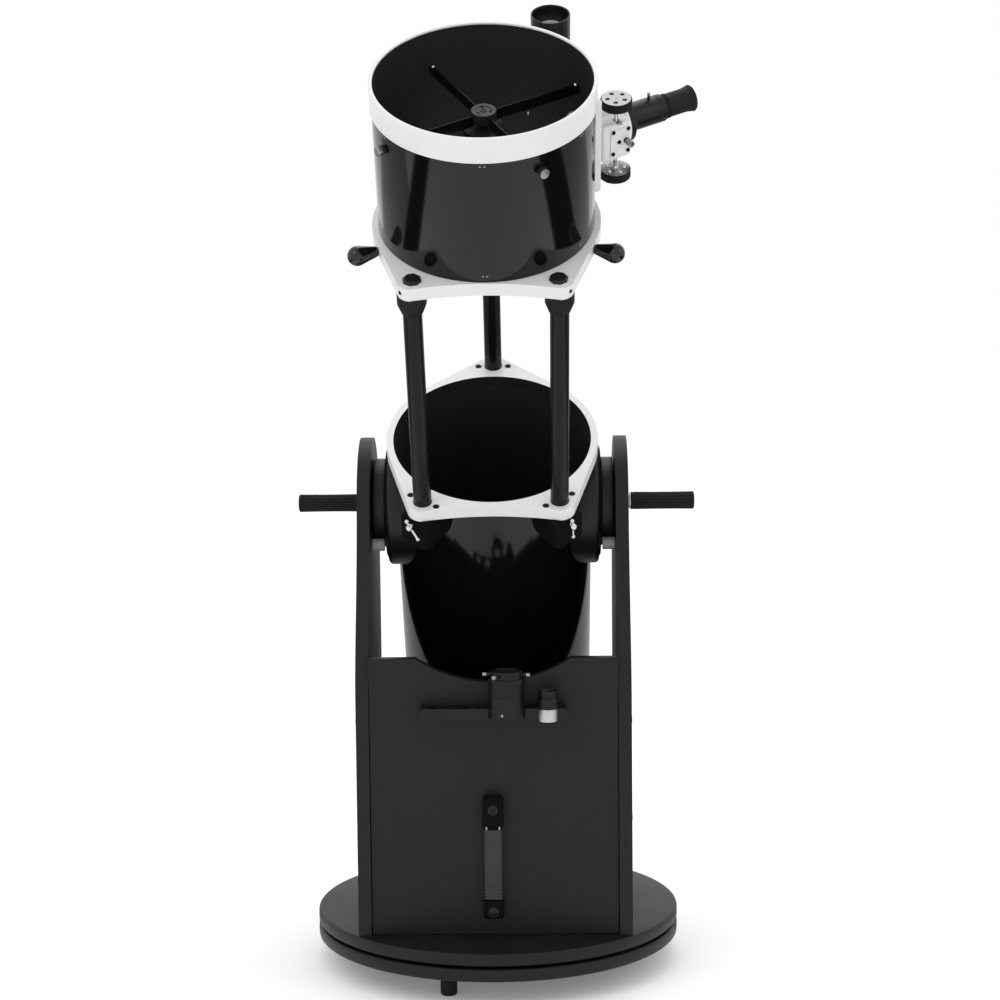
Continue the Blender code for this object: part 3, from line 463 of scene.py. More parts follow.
def build_panels():
    """Side panels with a round head and a curved front edge, the front board, and screw caps."""
    centre, radius, pivot, thick = (0.0070, 0.8204), 0.1230, 0.827, BOARD / 2
    top = arc(centre, radius, 0.0, pi - radians(8.0), 72)
    flank = bezier([(-0.2126, 0.520), (-0.2010, 0.610), (-0.1320, 0.700), top[-1]], 40)
    outline = [(0.1300, PANEL_FOOT)] + top + flank[:0:-1] + [flank[0], (-0.2195, PANEL_FOOT)]
    bore = circle(0.0095, 48, (0.0, pivot))
    for side, sign in SIDES.items():
        across = BASE @ move(sign * 0.2258, 0.0, 0.0) @ turn("Z", 90) @ turn("X", 90)
        panel = slab(f"side_panel_{side}_laminated", [outline, bore], -thick, thick, across, 0.0018)
        dress(panel, "rocker", "laminate", f"side_panel_{side}")
    build_front_board(thick)
    keep("accessory_rack", "black_metal", 0.0010)
    low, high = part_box("front_board")
    for side, sign in SIDES.items():
        inner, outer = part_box(f"side_panel_{side}")
        face = outer.x if sign > 0 else inner.x
        for number, height in enumerate((0.13, 0.30, 0.47)):
            at = Matrix.Translation((face, (low.y + high.y) / 2, height)) @ turn("Y", 90 * sign)
            cap = [(0.0, 0.0009), (0.0060, 0.0009), (0.0068, 0.0), (0.0, 0.0)]
            dress(lathe(f"panel_cap_{side}_{number}", cap, at, 32, 0.0003), "rocker", "black_plastic")


def build_front_board(thick):
    """Board whose top edge dips in a shallow arc, the scoop that the tube swings through."""
    half, height, scoop, depth = 0.2143, 0.5797, 0.133, 0.041
    radius = (scoop ** 2 + depth ** 2) / (2 * depth)
    reach = asin(scoop / radius)
    dip = arc((0.0, height - depth + radius), radius, -pi / 2 + reach, -pi / 2 - reach, 64)
    outline = [(-half, PANEL_FOOT), (half, PANEL_FOOT), (half, height)] + dip + [(-half, height)]
    upright = BASE @ move(0.0, -0.2008, 0.0) @ turn("X", 90)
    board = slab("front_board_laminated", [outline], -thick, thick, upright, 0.0016)
    dress(board, "rocker", "laminate", "front_board")


def build_extension_tube():
    """Ribbed tube with a narrower collar at its top, and three thumbscrews in the collar."""
    at, tall = stand("extension_tube")
    r, bore, collar, step = 0.0305, 0.0236, 0.0262, 0.0005
    ribs = []
    for i in range(7):
        top = tall - 0.0180 - 0.0042 * i
        ribs += [(r, top), (r, top - 0.0030), (r - step, top - 0.0034), (r - step, top - 0.0038)]
    neck = [(collar - 0.001, tall), (collar, tall - 0.001), (collar, tall - 0.0125), (r - 0.001, tall - 0.0135)]
    foot = [(r, tall - 0.0480), (r, 0.0135), (r + step, 0.0125), (r + step, 0.0), (bore, 0.0), (bore, tall)]
    dress(lathe("extension_tube_turned", neck + ribs + foot, at, 96, 0.0003), "rocker", "black_metal",
          "extension_tube")
    middle = at @ move(0.0, 0.0, tall - 0.0065)
    for number, angle in enumerate((-8, 172, -122)):
        screw = middle @ turn("Z", angle) @ turn("Y", 90) @ move(0, 0, collar - 0.0005)
        thumbscrew(f"extension_thumbscrew_{number}", screw, "rocker", 0.0036, 0.0080, 0.0070)
    screw = at @ move(0.0, 0.0, 0.0065) @ turn("Z", -104) @ turn("Y", 90) @ move(0, 0, r + 0.0008)
    cross_screw("extension_screw", screw, "rocker", 0.0024, 0.0012, "brushed")


def build_rack_eyepiece():
    """Spare eyepiece, its bright barrel hanging below its shoulder."""
    at, tall = stand("rack_eyepiece")
    shoulder, wide, neck, groove = 0.0215, 0.0183, 0.0158, 0.0176
    cup = [(0.0, tall - 0.004), (0.0118, tall - 0.004), (0.0150, tall), (0.0162, tall - 0.002),
           (neck, tall - 0.009), (0.0166, tall - 0.0095), (0.0166, tall - 0.0110), (neck, tall - 0.0115),
           (neck, tall - 0.0125)]
    grip = [(wide, tall - 0.0145), (wide, shoulder + 0.0060), (groove, shoulder + 0.0056),
            (groove, shoulder + 0.0048), (wide, shoulder + 0.0044), (wide, shoulder), (0.0, shoulder)]
    dress(lathe("rack_eyepiece_body", cup + grip, at, FINE, 0.0006), "rocker", "black_metal", "rack_eyepiece")
    barrel = [(0.01585, shoulder), (0.01585, 0.0), (0.0140, 0.0), (0.0140, 0.010), (0.0120, 0.010),
              (0.0120, shoulder)]
    dress(lathe("rack_eyepiece_barrel", barrel, at, FINE, 0.0005), "rocker", "satin_metal")
    lens = [(0.0, tall - 0.0030), (0.0110, tall - 0.0038), (0.0110, tall - 0.0060), (0.0, tall - 0.0060)]
    dress(lathe("rack_eyepiece_lens", lens, at, 32, 0.0), "rocker", "lens_glass")


def build_carry_handle():
    """Two brackets with a large screw each, and the ridged rubber grip between them."""
    for end in ("upper", "lower"):
        node = f"handle_{end}_bracket"
        low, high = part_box(node)
        dress(block(f"{node}_moulded", low, high, Matrix.Identity(4), 0.0062), "rocker", "dark", node)
        height = high.z - 0.021 if end == "upper" else low.z + 0.013
        at = Matrix.Translation(((low.x + high.x) / 2, low.y + 0.0004, height)) @ turn("X", 90)
        washer = [(0.0088, 0.0006), (0.0088, 0.0), (0.0060, 0.0), (0.0060, 0.0006)]
        dress(lathe(f"handle_{end}_washer", washer, at, 48, 0.0002), "rocker", "black_metal")
        cross_screw(f"handle_{end}_screw", at, "rocker", 0.0066, 0.0028, "black_metal")
    build_grip()
    low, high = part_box("handle_upper_bracket")
    pin = [(0.0, 0.0062), (0.0017, 0.0062), (0.0017, 0.0), (0.0, 0.0)]
    for number, side in enumerate((-0.0110, 0.0110)):
        at = Matrix.Translation(((low.x + high.x) / 2 + side, low.y + 0.0004, low.z - 0.0004))
        dress(lathe(f"grip_pin_{number}", pin, at, 24, 0.0005), "rocker", "brushed")


def build_grip():
    low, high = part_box("handle_grip")
    inset = Vector((0.001, 0.0012, 0.0))
    core = block("carry_grip", low + inset, high - inset, Matrix.Identity(4), 0.0035)
    dress(core, "rocker", "grip_rubber", "handle_grip")
    middle, size, ridges = (low + high) / 2, high - low, 21
    pitch = size.z / ridges
    ridge = Matrix.Diagonal((size.x, size.y, pitch * 0.52, 1.0))
    bm = bmesh.new()
    for i in range(ridges):
        at = Matrix.Translation((middle.x, middle.y, low.z + pitch * (i + 0.5)))
        bmesh.ops.create_cube(bm, size=1.0, matrix=at @ ridge)
    bmesh.ops.bevel(bm, geom=bm.edges[:], offset=0.0012, segments=2, profile=0.5, affect="EDGES")
    dress(solid("carry_grip_ridges", bm, Matrix.Identity(4)), "rocker", "grip_rubber")


def build_bushes():
    """Nylon bushes that the altitude discs rest on, each with its bolt."""
    for side, sign in SIDES.items():
        for end in ("front", "rear"):
            node = f"bush_{side}_{end}"
            low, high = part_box(node)
            middle, long, radius = (low + high) / 2, high.x - low.x, (high.y - low.y) / 2
            at = Matrix.Translation((middle.x - sign * long / 2, middle.y, middle.z)) @ turn("Y", 90 * sign)
            profile = [(0.0, long), (radius, long), (radius, 0.0), (0.0060, 0.0), (0.0060, 0.003), (0.0, 0.003)]
            dress(lathe(f"{node}_nylon", profile, at, 48, 0.0012), "rocker", "nylon", node)
            bolt = at @ move(0, 0, 0.0032) @ turn("X", 180)
            socket_screw(f"{node}_bolt", bolt, "rocker", 0.0045, 0.0028, "chrome")


# Lower tube

def tube_wall(name, low, high, body, node, *cutters):
    """Thin tube, gloss outside and matt inside."""
    profile = [(TUBE_RADIUS, high), (TUBE_RADIUS, low), (TUBE_INNER, low), (TUBE_INNER, high)]
    wall = lathe(name, profile, TUBE, SMOOTH, 0.0004)
    if cutters:
        carve(wall, *cutters)
    dress(wall, body, "tube_paint", node)
    return second_material(wall, "inner_paint", lambda c, n: c.x * c.x + c.y * c.y < (TUBE_INNER + GAP) ** 2
                           and c.x * n.x + c.y * n.y < -0.05)


def build_lower_tube():
    """Tube, its end ring, and the vented cell with the mirror and three collimation knobs."""
    tube_wall("lower_tube_wall", TUBE_BOTTOM, LOWER_TOP - CASTING_THICKNESS - GAP, "tube", "lower_tube")
    floor, lip, foot = TUBE_BOTTOM - GAP, 0.022, -0.560
    ring = [(0.1785, floor + lip), (0.1785, foot), (0.1500, foot), (0.1500, floor), (0.1750, floor),
            (0.1750, floor + lip)]
    dress(lathe("end_ring_cast", ring, TUBE, SMOOTH, 0.0025), "tube", "cast_white", "end_ring")
    cell_bottom, cell_top = -0.5447, -0.5331
    vents = [circle(0.0449, FINE, spoke(0.080, angle)) for angle in (90, 210, 330)]
    bolts = [circle(0.0040, 24, spoke(COLLIMATION_CIRCLE, angle)) for angle in COLLIMATION_ANGLES]
    plate = [circle(TUBE_INNER - GAP, SMOOTH)] + vents + bolts
    dress(slab("mirror_cell_cast", plate, cell_bottom, cell_top, TUBE, 0.0015), "tube", "black_metal",
          "mirror_cell")
    build_primary_mirror()
    for number, angle in enumerate(COLLIMATION_ANGLES, 1):
        node = f"collimation_knob_{number}"
        at = TUBE @ move(*spoke(COLLIMATION_CIRCLE, angle), 0.0)
        tip, shoulder, top, depth = MIRROR_BACK - GAP, -0.5327, TUBE_BOTTOM, 0.0120
        profile = [(0.0, tip), (0.0060, tip), (0.0060, shoulder), (0.0035, shoulder), (0.0035, top),
                   (0.0110, top), (0.0120, top - depth), (0.0, top - 0.0130)]
        flutes = (12, 0.0012, top - depth - 0.0001, top - 0.0005)
        dress(lathe(f"{node}_turned", profile, at, 96, 0.0010, flutes), node, "black_plastic", node)


def build_primary_mirror():
    """Ground glass with a silvered hollow face, held down by three clips."""
    steps, sag, clip_low, clip_high = 12, 0.0039, -0.4800, -0.4765
    face = [(MIRROR_RADIUS * i / steps, MIRROR_FACE - sag * (1 - (i / steps) ** 2)) for i in range(steps + 1)]
    profile = face + [(MIRROR_RADIUS, MIRROR_BACK), (0.0, MIRROR_BACK)]
    mirror = lathe("primary_mirror_ground", profile, TUBE, SMOOTH, 0.0006)
    dress(mirror, "tube", "ground_glass", "primary_mirror")
    second_material(mirror, "mirror", lambda c, n: c.z > MIRROR_FACE - sag - 0.0006)
    for number, angle in enumerate((90, 210, 330)):
        at = TUBE @ move(*spoke(0.1500, angle + 60), 0.0) @ turn("Z", angle + 60)
        clip = block(f"mirror_clip_{number}", (-0.0100, -0.0120, clip_low), (0.0200, 0.0120, clip_high),
                     at, 0.001)
        dress(clip, "tube", "black_plastic")


def build_altitude():
    """Hubs carved to sit on the tube, bearing discs, and the handle on each side."""
    near, far = DISC_FACES
    inner, face = 0.1330, 0.1902
    for side, sign in SIDES.items():
        out = Matrix.Translation(PIVOT) @ turn("Y", 90 * sign)
        profile = [(0.0, face), (0.0960, face), (0.0985, 0.1875), (0.1060, 0.1870), (0.1105, 0.1825),
                   (0.1105, inner), (0.0, inner)]
        hub = lathe(f"altitude_hub_{side}_moulded", profile, out, SMOOTH, 0.0035)
        saddle = rod("saddle", TUBE_RADIUS + GAP, -0.3, 0.3, TUBE, SMOOTH)
        dress(carve(hub, saddle), "tube", "black_plastic", f"altitude_hub_{side}")
        groove = far - 0.003
        profile = [(0.0790, far), (0.0790, near), (BOLT_RADIUS, near), (BOLT_RADIUS, far), (0.0300, far),
                   (0.0330, groove), (0.0660, groove), (0.0700, far)]
        dress(lathe(f"altitude_disc_{side}_moulded", profile, out, SMOOTH, 0.0022), "tube", "black_plastic",
              f"altitude_disc_{side}")
    grip_handle("fixed_handle", "tube", -1, 0.2375, 0.3492)
    grip_handle("tension_handle", "tension_handle", 1, 0.2450, 0.3583)
    out = Matrix.Translation(PIVOT) @ turn("Y", 90)
    thick, bore = 0.0016, 0.0088
    for number in range(4):
        low = 0.2372 + 0.0019 * number
        radius = 0.0150 if number in (0, 3) else 0.0128
        ring = [(radius, low + thick), (radius, low), (bore, low), (bore, low + thick)]
        dress(lathe(f"tension_washer_{number}", ring, out, 48, 0.0004), "tension_handle", "chrome")


def grip_handle(node, body, sign, start, end):
    """Fluted grip with a plain shoulder at each end, on its bright shaft."""
    out = Matrix.Translation(PIVOT) @ turn("Y", 90 * sign)
    steps, shoulder, tail = 14, 0.0045, 0.0060
    long = end - start - shoulder - tail
    sides = [(0.0157 - 0.0004 * sin(pi * i / steps), end - shoulder - long * i / steps)
             for i in range(steps + 1)]
    profile = ([(0.0, end), (0.0118, end), (0.0150, end - 0.0012), (0.0160, end - 0.0030)] + sides
               + [(0.0154, start + shoulder), (0.0154, start), (0.0, start)])
    grip = lathe(node + "_grip", profile, out, 192, 0.0006, (16, 0.0016, start + tail, end - shoulder))
    dress(grip, body, "black_rubber", node)
    near, far = DISC_FACES[0] + 0.0010, DISC_FACES[1] + GAP
    shaft = [(0.0, start), (0.0085, start), (0.0085, far), (0.0060, far), (0.0060, near), (0.0, near)]
    dress(lathe(node + "_shaft", shaft, out, 48, 0.0003), body, "chrome")


# Castings and struts

def lobed_outline(ring_radius, lobe_radius, front_reach):
    """Ring with a lobe round each strut and a front edge that dips between two of them."""
    lobes = {side: spoke(STRUT_CIRCLE, angle) for side, angle in STRUT_ANGLES.items()}
    lean = degrees(asin((ring_radius - lobe_radius) / STRUT_CIRCLE))
    right, rear = STRUT_ANGLES["right"] + 90 - lean, STRUT_ANGLES["rear"] - 90 + lean
    half = (arc(lobes["right"], lobe_radius, radians(-84), radians(right), 24)
            + arc((0.0, 0.0), ring_radius, radians(right), radians(rear), 24)
            + arc(lobes["rear"], lobe_radius, radians(rear), radians(90), 16))
    mirrored = [(-x, y) for x, y in reversed(half[:-1])]
    corner = Vector(half[0])
    steps = 24
    dip = [(corner.x * (1 - 2 * i / steps),
            -front_reach + (corner.y + front_reach) * (1 - 2 * i / steps) ** 2) for i in range(1, steps)]
    return half + mirrored + [(-x, y) for x, y in dip]


def build_casting(place, top, opening, lobe_radius, front_reach, holes, body):
    outline = lobed_outline(0.1850, lobe_radius, front_reach)
    casting = slab(f"{place}_casting_cast", [outline, circle(opening, SMOOTH)] + holes,
                   top - CASTING_THICKNESS, top, TUBE, 0.0022)
    dress(casting, body, "cast_white", f"{place}_casting")
    second_material(casting, "inner_paint",
                    lambda c, n: abs(n.z) < 0.5 and c.x * c.x + c.y * c.y < opening ** 2)


def build_castings():
    strut_holes = [circle(STRUT_RADIUS + 0.0007, 48, spoke(STRUT_CIRCLE, a)) for a in STRUT_ANGLES.values()]
    screw_places = [(0.2050, a + side) for a in STRUT_ANGLES.values() for side in (-7.5, 7.5)]
    screw_holes = [circle(0.0060, 32, spoke(*at)) for at in screw_places]
    build_casting("lower", LOWER_TOP, 0.1728, 0.0265, 0.1840, strut_holes + screw_holes, "tube")
    for number, (radius, angle) in enumerate(screw_places):
        at = TUBE @ move(*spoke(radius, angle), LOWER_TOP - 0.0030)
        socket_screw(f"guide_screw_{number}", at, "tube", 0.0058, 0.0038, "black_metal")
    cap_holes = [circle(0.0060, 24, spoke(STRUT_CIRCLE, a)) for a in STRUT_ANGLES.values()]
    build_casting("upper", UPPER_TOP, TUBE_RADIUS - 0.004, 0.0222, 0.1775, cap_holes, "upper")
    for side, angle in STRUT_ANGLES.items():
        at = on_tube(0.2028, angle, UPPER_TOP + 0.0002)
        cap = [(0.0, 0.0052), (0.0125, 0.0052), (0.0150, 0.0030), (0.0156, 0.0), (0.0, 0.0)]
        dress(lathe(f"strut_cap_{side}", cap, at @ turn("Z", 22.5), 8, 0.0, sharp=20.0), "upper",
              "black_plastic")
    for side, sign in SIDES.items():
        at = (TUBE @ move(*spoke(STRUT_CIRCLE, STRUT_ANGLES[side]), CASTING_MIDDLE)
              @ turn("Z", -90 + sign * 50) @ turn("Y", 90) @ move(0.0, 0.0, 0.0220))
        hole = [(0.0, 0.0010), (0.0030, 0.0010), (0.0034, 0.0), (0.0, 0.0)]
        dress(lathe(f"corner_screw_{side}", hole, at, 24, 0.0003), "upper", "dark")


def build_struts():
    top = UPPER_TOP - CASTING_THICKNESS - 0.0003
    inner = STRUT_RADIUS - 0.0015
    for side, angle in STRUT_ANGLES.items():
        at = TUBE @ move(*spoke(STRUT_CIRCLE, angle), 0.0)
        pole = [(STRUT_RADIUS, top - 0.0300), (STRUT_RADIUS, 0.052), (inner, 0.052), (inner, top - 0.0300)]
        dress(lathe(f"strut_{side}_pole", pole, at, 96, 0.0005), "upper", "strut_paint", f"strut_{side}")
        boot = [(0.0236, top), (0.0236, top - 0.0175), (0.0176, top - 0.0345), (0.0160, top - 0.0352),
                (0.01551, top - 0.0352), (0.01551, top)]
        dress(lathe(f"strut_{side}_boot", boot, at, 96, 0.0016), "upper", "black_rubber")
        guide = keep(f"strut_guide_{side}", "dark", 0.0012)
        guide.data.shade_smooth()
        guide.data.set_sharp_from_angle(angle=radians(30.0))
        build_lock_screw(side, angle)
    for side, angle in (("left", -158.2), ("right", -21.8)):
        at = outwards(0.0, angle, CASTING_MIDDLE)
        start, centre, radius = 0.1870, 0.2210, 0.0162
        nose = arc((0.0, centre), radius, radians(90), radians(-15), 20)
        neck = [(0.0148, centre - 0.0070), (0.0082, start + 0.0015), (0.0076, start), (0.0, start)]
        profile = [(0.0, centre + radius)] + nose[1:] + neck
        dress(lathe(f"lift_knob_{side}_moulded", profile, at, 96, 0.0), "upper", "gloss_black",
              f"lift_knob_{side}")


def build_lock_screw(side, angle):
    """Sliding cross bar with ball ends through the boss of a short screw."""
    height, reach = 0.1183, 0.2430
    near, far = -0.0250, 0.0110
    spin = {"left": 127.9, "right": 93.4, "rear": 90.0}[side]
    out = TUBE @ move(0, 0, height) @ turn("Z", angle) @ turn("X", spin) @ turn("Y", 90)
    start = STRUT_CIRCLE + STRUT_RADIUS + 0.0003
    profile = [(0.0, 0.2495), (0.0040, 0.2495), (0.0056, 0.2480), (0.0056, 0.2405), (0.0048, 0.2395),
               (0.0030, 0.2390), (0.0030, start), (0.0, start)]
    body = f"lock_screw_{side}"
    dress(lathe(body + "_boss", profile, out, 48, 0.0006), body, "chrome", body)
    bar = out @ move(0, 0, reach) @ turn("X", 90)
    ball = 0.0038
    knob_low = [(ball * sin(t), -far - ball * cos(t)) for t in [pi * i / 10 for i in range(1, 9)]]
    knob_high = [(ball * sin(t), -near - ball * cos(t)) for t in [pi * i / 10 for i in range(2, 10)]]
    profile = [(0.0, -far - ball)] + knob_low + [(0.0022, -far + 0.0036), (0.0022, -near - 0.0036)] + knob_high
    profile += [(0.0, -near + ball)]
    dress(lathe(body + "_bar", profile[::-1], bar, 32, 0.0), body, "chrome")


# Upper tube

def build_upper_tube():
    reach = turn("Y", 90)
    hole = lathe("hole", [(0.0, 0.25), (0.0380, 0.25), (0.0380, 0.10), (0.0, 0.10)],
                 TUBE @ move(0, 0, FOCUSER_HEIGHT) @ turn("Z", FOCUSER_ANGLE) @ reach, 96, 0.0)
    tube_wall("upper_tube_wall", UPPER_TOP + 0.0003, RIM - 0.0043, "upper", "upper_tube", hole)
    low, lip = RIM - 0.0432, RIM - 0.0040
    band = [(0.1774, RIM), (0.1774, low), (0.1750, low), (0.1750, lip), (0.1714, lip), (0.1714, RIM)]
    dress(settle(lathe("top_ring_cast", band, TUBE, SMOOTH, 0.0022)), "upper", "cast_white", "top_ring")
    for number in range(6):
        angle = 30 + 60 * number
        for row, height in (("upper", 0.8150), ("lower", 0.6150)):
            for pair in (-1, 1):
                at = outwards(TUBE_RADIUS, angle + pair * 1.1, height)
                if abs(angle - FOCUSER_ANGLE) > 40 and abs(angle - FINDER_ANGLE) > 30:
                    cross_screw(f"tube_screw_{row}_{number}_{pair + 1}", at, "upper", 0.0018, 0.0010, "brushed")


def build_spider():
    top = 0.8080
    hub = [(0.0, top - 0.0012), (0.0120, top - 0.0012), (0.0130, top), (0.0200, top), (0.0200, top - 0.018),
           (0.0, top - 0.018)]
    dress(lathe("spider_hub", hub, TUBE, 96, 0.0010), "upper", "grey_metal", "spider")
    for number, angle in enumerate((90, 210, 330)):
        at = TUBE @ move(*spoke(0.0125, angle + 15), top - 0.0012)
        socket_screw(f"spider_bolt_{number}", at, "upper", 0.0030, 0.0012, "dark")
    socket_screw("spider_centre_bolt", TUBE @ move(0, 0, top - 0.0012), "upper", 0.0052, 0.0012, "black_metal")
    reach = TUBE_INNER - 0.0015
    for number, angle in enumerate(SPIDER_ANGLES):
        at = TUBE @ turn("Z", angle)
        vane = block("vane", (0.0190, -0.0007, SPIDER_HEIGHT - 0.0095), (reach, 0.0007, SPIDER_HEIGHT + 0.0095),
                     at, 0.0003)
        vane.name = f"spider_vane_{number}"
        dress(vane, "upper", "black_metal")
        foot = block("foot", (reach - 0.0070, -0.0030, SPIDER_HEIGHT - 0.0080),
                     (reach, 0.0030, SPIDER_HEIGHT + 0.0080), at, 0.0010)
        foot.name = f"spider_foot_{number}"
        dress(foot, "upper", "black_metal")
        cross_screw(f"spider_foot_screw_{number}", at @ move(reach - 0.0040, 0.0, SPIDER_HEIGHT + 0.0080),
                    "upper", 0.0036, 0.0030, "chrome")
        if angle != FOCUSER_ANGLE:
            thumbscrew(f"vane_screw_{number}", outwards(TUBE_RADIUS, angle, SPIDER_HEIGHT), "upper", 0.0078,
                       0.0050, 0.0095)
    nut = outwards(TUBE_INNER + 0.0002, 66.4, 0.706) @ turn("X", 180)
    cross_screw("finder_nut", nut, "upper", 0.0034, 0.0045, "chrome")
    keep("secondary_holder", "inner_paint", 0.0008)
    mirror = keep("secondary_mirror", "inner_paint")
    facing = (TUBE @ turn("Z", FOCUSER_ANGLE)).to_3x3() @ Vector((1.0, 0.0, -1.0)).normalized()
    second_material(mirror, "mirror", lambda c, n: n.dot(facing) > 0.9)


def build_focuser():
    focus = TUBE @ move(0, 0, FOCUSER_HEIGHT) @ turn("Z", FOCUSER_ANGLE)
    out = focus @ turn("Y", 90)
    build_focuser_casting(focus, out)
    for number, (x, z) in enumerate(((-0.0140, -0.0200), (0.0140, -0.0200), (-0.0140, 0.0200), (0.0140, 0.0200),
                                     (-0.0030, -0.0005))):
        at = focus @ move(0.2195 + x, -0.0537, z) @ turn("X", 90)
        socket_screw(f"focuser_screw_{number}", at, "upper", 0.0033, 0.0026, "dark")
    thumbscrew("focuser_lock", focus @ move(0.2300, -0.0537, -0.0010) @ turn("X", 90), "upper", 0.0056, 0.0040,
               0.0130)

    rim, inner, outer = 0.2503, 0.1640, 0.2620
    tube = [(0.0352, outer), (0.0362, outer - 0.001), (0.0362, rim), (0.0290, rim), (0.0290, inner),
            (0.0258, inner), (0.0258, outer)]
    collar = lathe("drawtube_turned", tube, out, 144, 0.0006, (48, 0.0005, rim + 0.002, outer - 0.002))
    dress(collar, "drawtube", "black_metal", "focuser_drawtube")
    shell, seat = 0.0228, 0.3310
    adapter = [(0.0215, seat), (shell, seat - 0.0015), (shell, seat - 0.0100), (shell - 0.0006, seat - 0.0106),
               (shell - 0.0006, seat - 0.0120), (shell, seat - 0.0126), (shell, 0.2630), (0.0254, 0.2623),
               (0.0254, 0.2300), (0.0161, 0.2300), (0.0161, seat)]
    dress(lathe("adapter_turned", adapter, out, 96, 0.0005), "drawtube", "black_metal", "eyepiece_adapter")
    at = out @ move(0, 0, seat - 0.0250) @ turn("Z", 180) @ turn("Y", 90) @ move(0, 0, shell - 0.0005)
    thumbscrew("adapter_thumbscrew", at, "drawtube", 0.0027, 0.0085, 0.0045)
    build_focuser_eyepiece(out, seat + 0.0003)
    build_focus_knobs(focus)


def build_focuser_casting(focus, out):
    """White saddle on the tube, the round body on it, and the block that carries the focus axle."""
    bore = (0.0296, 0.30), (0.0296, 0.10)
    saddle = block("focuser_saddle", (0.160, -0.0520, -0.0850), (0.1860, 0.0520, 0.0850), focus, 0.0045)
    carve(saddle, rod("tube", TUBE_RADIUS + GAP, 0.5, 1.0, TUBE, SMOOTH),
          lathe("bore", [(0.0, 0.30), *bore, (0.0, 0.10)], out, 64, 0.0))
    dress(saddle, "upper", "cast_white", "focuser_body")
    barrel = [(0.0400, 0.2500), (0.0400, 0.2440), (0.0388, 0.2435), (0.0388, 0.2000), (0.0420, 0.1950),
              (0.0440, 0.1855), (0.0296, 0.1855), (0.0296, 0.2500)]
    dress(lathe("focuser_barrel", barrel, out, 120, 0.0008), "upper", "cast_white")
    axle_block = block("focuser_axle_block", (0.1862, -0.0522, -0.0330), (0.2400, -0.0180, 0.0330),
                       focus, 0.0050)
    carve(axle_block, lathe("bore", [(0.0, 0.30), *bore, (0.0, 0.10)], out, 64, 0.0),
          lathe("well", [(0.0, 0.05), (0.0052, 0.05), (0.0052, -0.05), (0.0, -0.05)],
                focus @ move(0.2185, -0.040, 0.0), 48, 0.0),
          block("notch", (0.2133, -0.0600, 0.0285), (0.2237, -0.0400, 0.0500), focus))
    dress(axle_block, "upper", "cast_white")
    bush = [(0.0050, 0.0282), (0.0050, -0.0310), (0.0034, -0.0310), (0.0034, 0.0282)]
    dress(lathe("axle_bush", bush, focus @ move(0.2185, -0.040, 0.0), 48, 0.0003), "upper", "black_plastic")
    plate = block("axle_plate", (0.2010, -0.0538, -0.0285), (0.2385, -0.0524, 0.0230), focus, 0.0005)
    plate.name = "focuser_side_plate"
    dress(plate, "upper", "cast_white")


def build_focuser_eyepiece(out, low):
    """Eyepiece with fine grooves below its flared rubber cup."""
    cup = 0.3890
    grooves = []
    for i in range(4):
        height = low + 0.0085 - 0.0020 * i
        grooves += [(0.0205, height), (0.0205, height - 0.0010),
                    (0.0197, height - 0.0013), (0.0197, height - 0.0017)]
    flare = [(0.0195 + 0.0028 * t * t, cup - 0.020 + 0.019 * t) for t in (1.0, 0.85, 0.7, 0.5, 0.3, 0.0)]
    profile = ([(0.0, cup - 0.0080), (0.0110, cup - 0.0080), (0.0150, cup - 0.0060), (0.0200, cup)] + flare
               + [(0.0195, low + 0.0120), (0.0202, low + 0.0105)] + grooves
               + [(0.0205, low), (0.01585, low), (0.01585, low - 0.028), (0.0, low - 0.028)])
    dress(lathe("eyepiece_turned", profile, out, 96, 0.0003), "drawtube", "black_rubber", "focuser_eyepiece")
    lens = [(0.0, cup - 0.0065), (0.0100, cup - 0.0078), (0.0100, cup - 0.0100), (0.0, cup - 0.0100)]
    dress(lathe("eyepiece_lens", lens, out, 48, 0.0), "drawtube", "lens_glass")


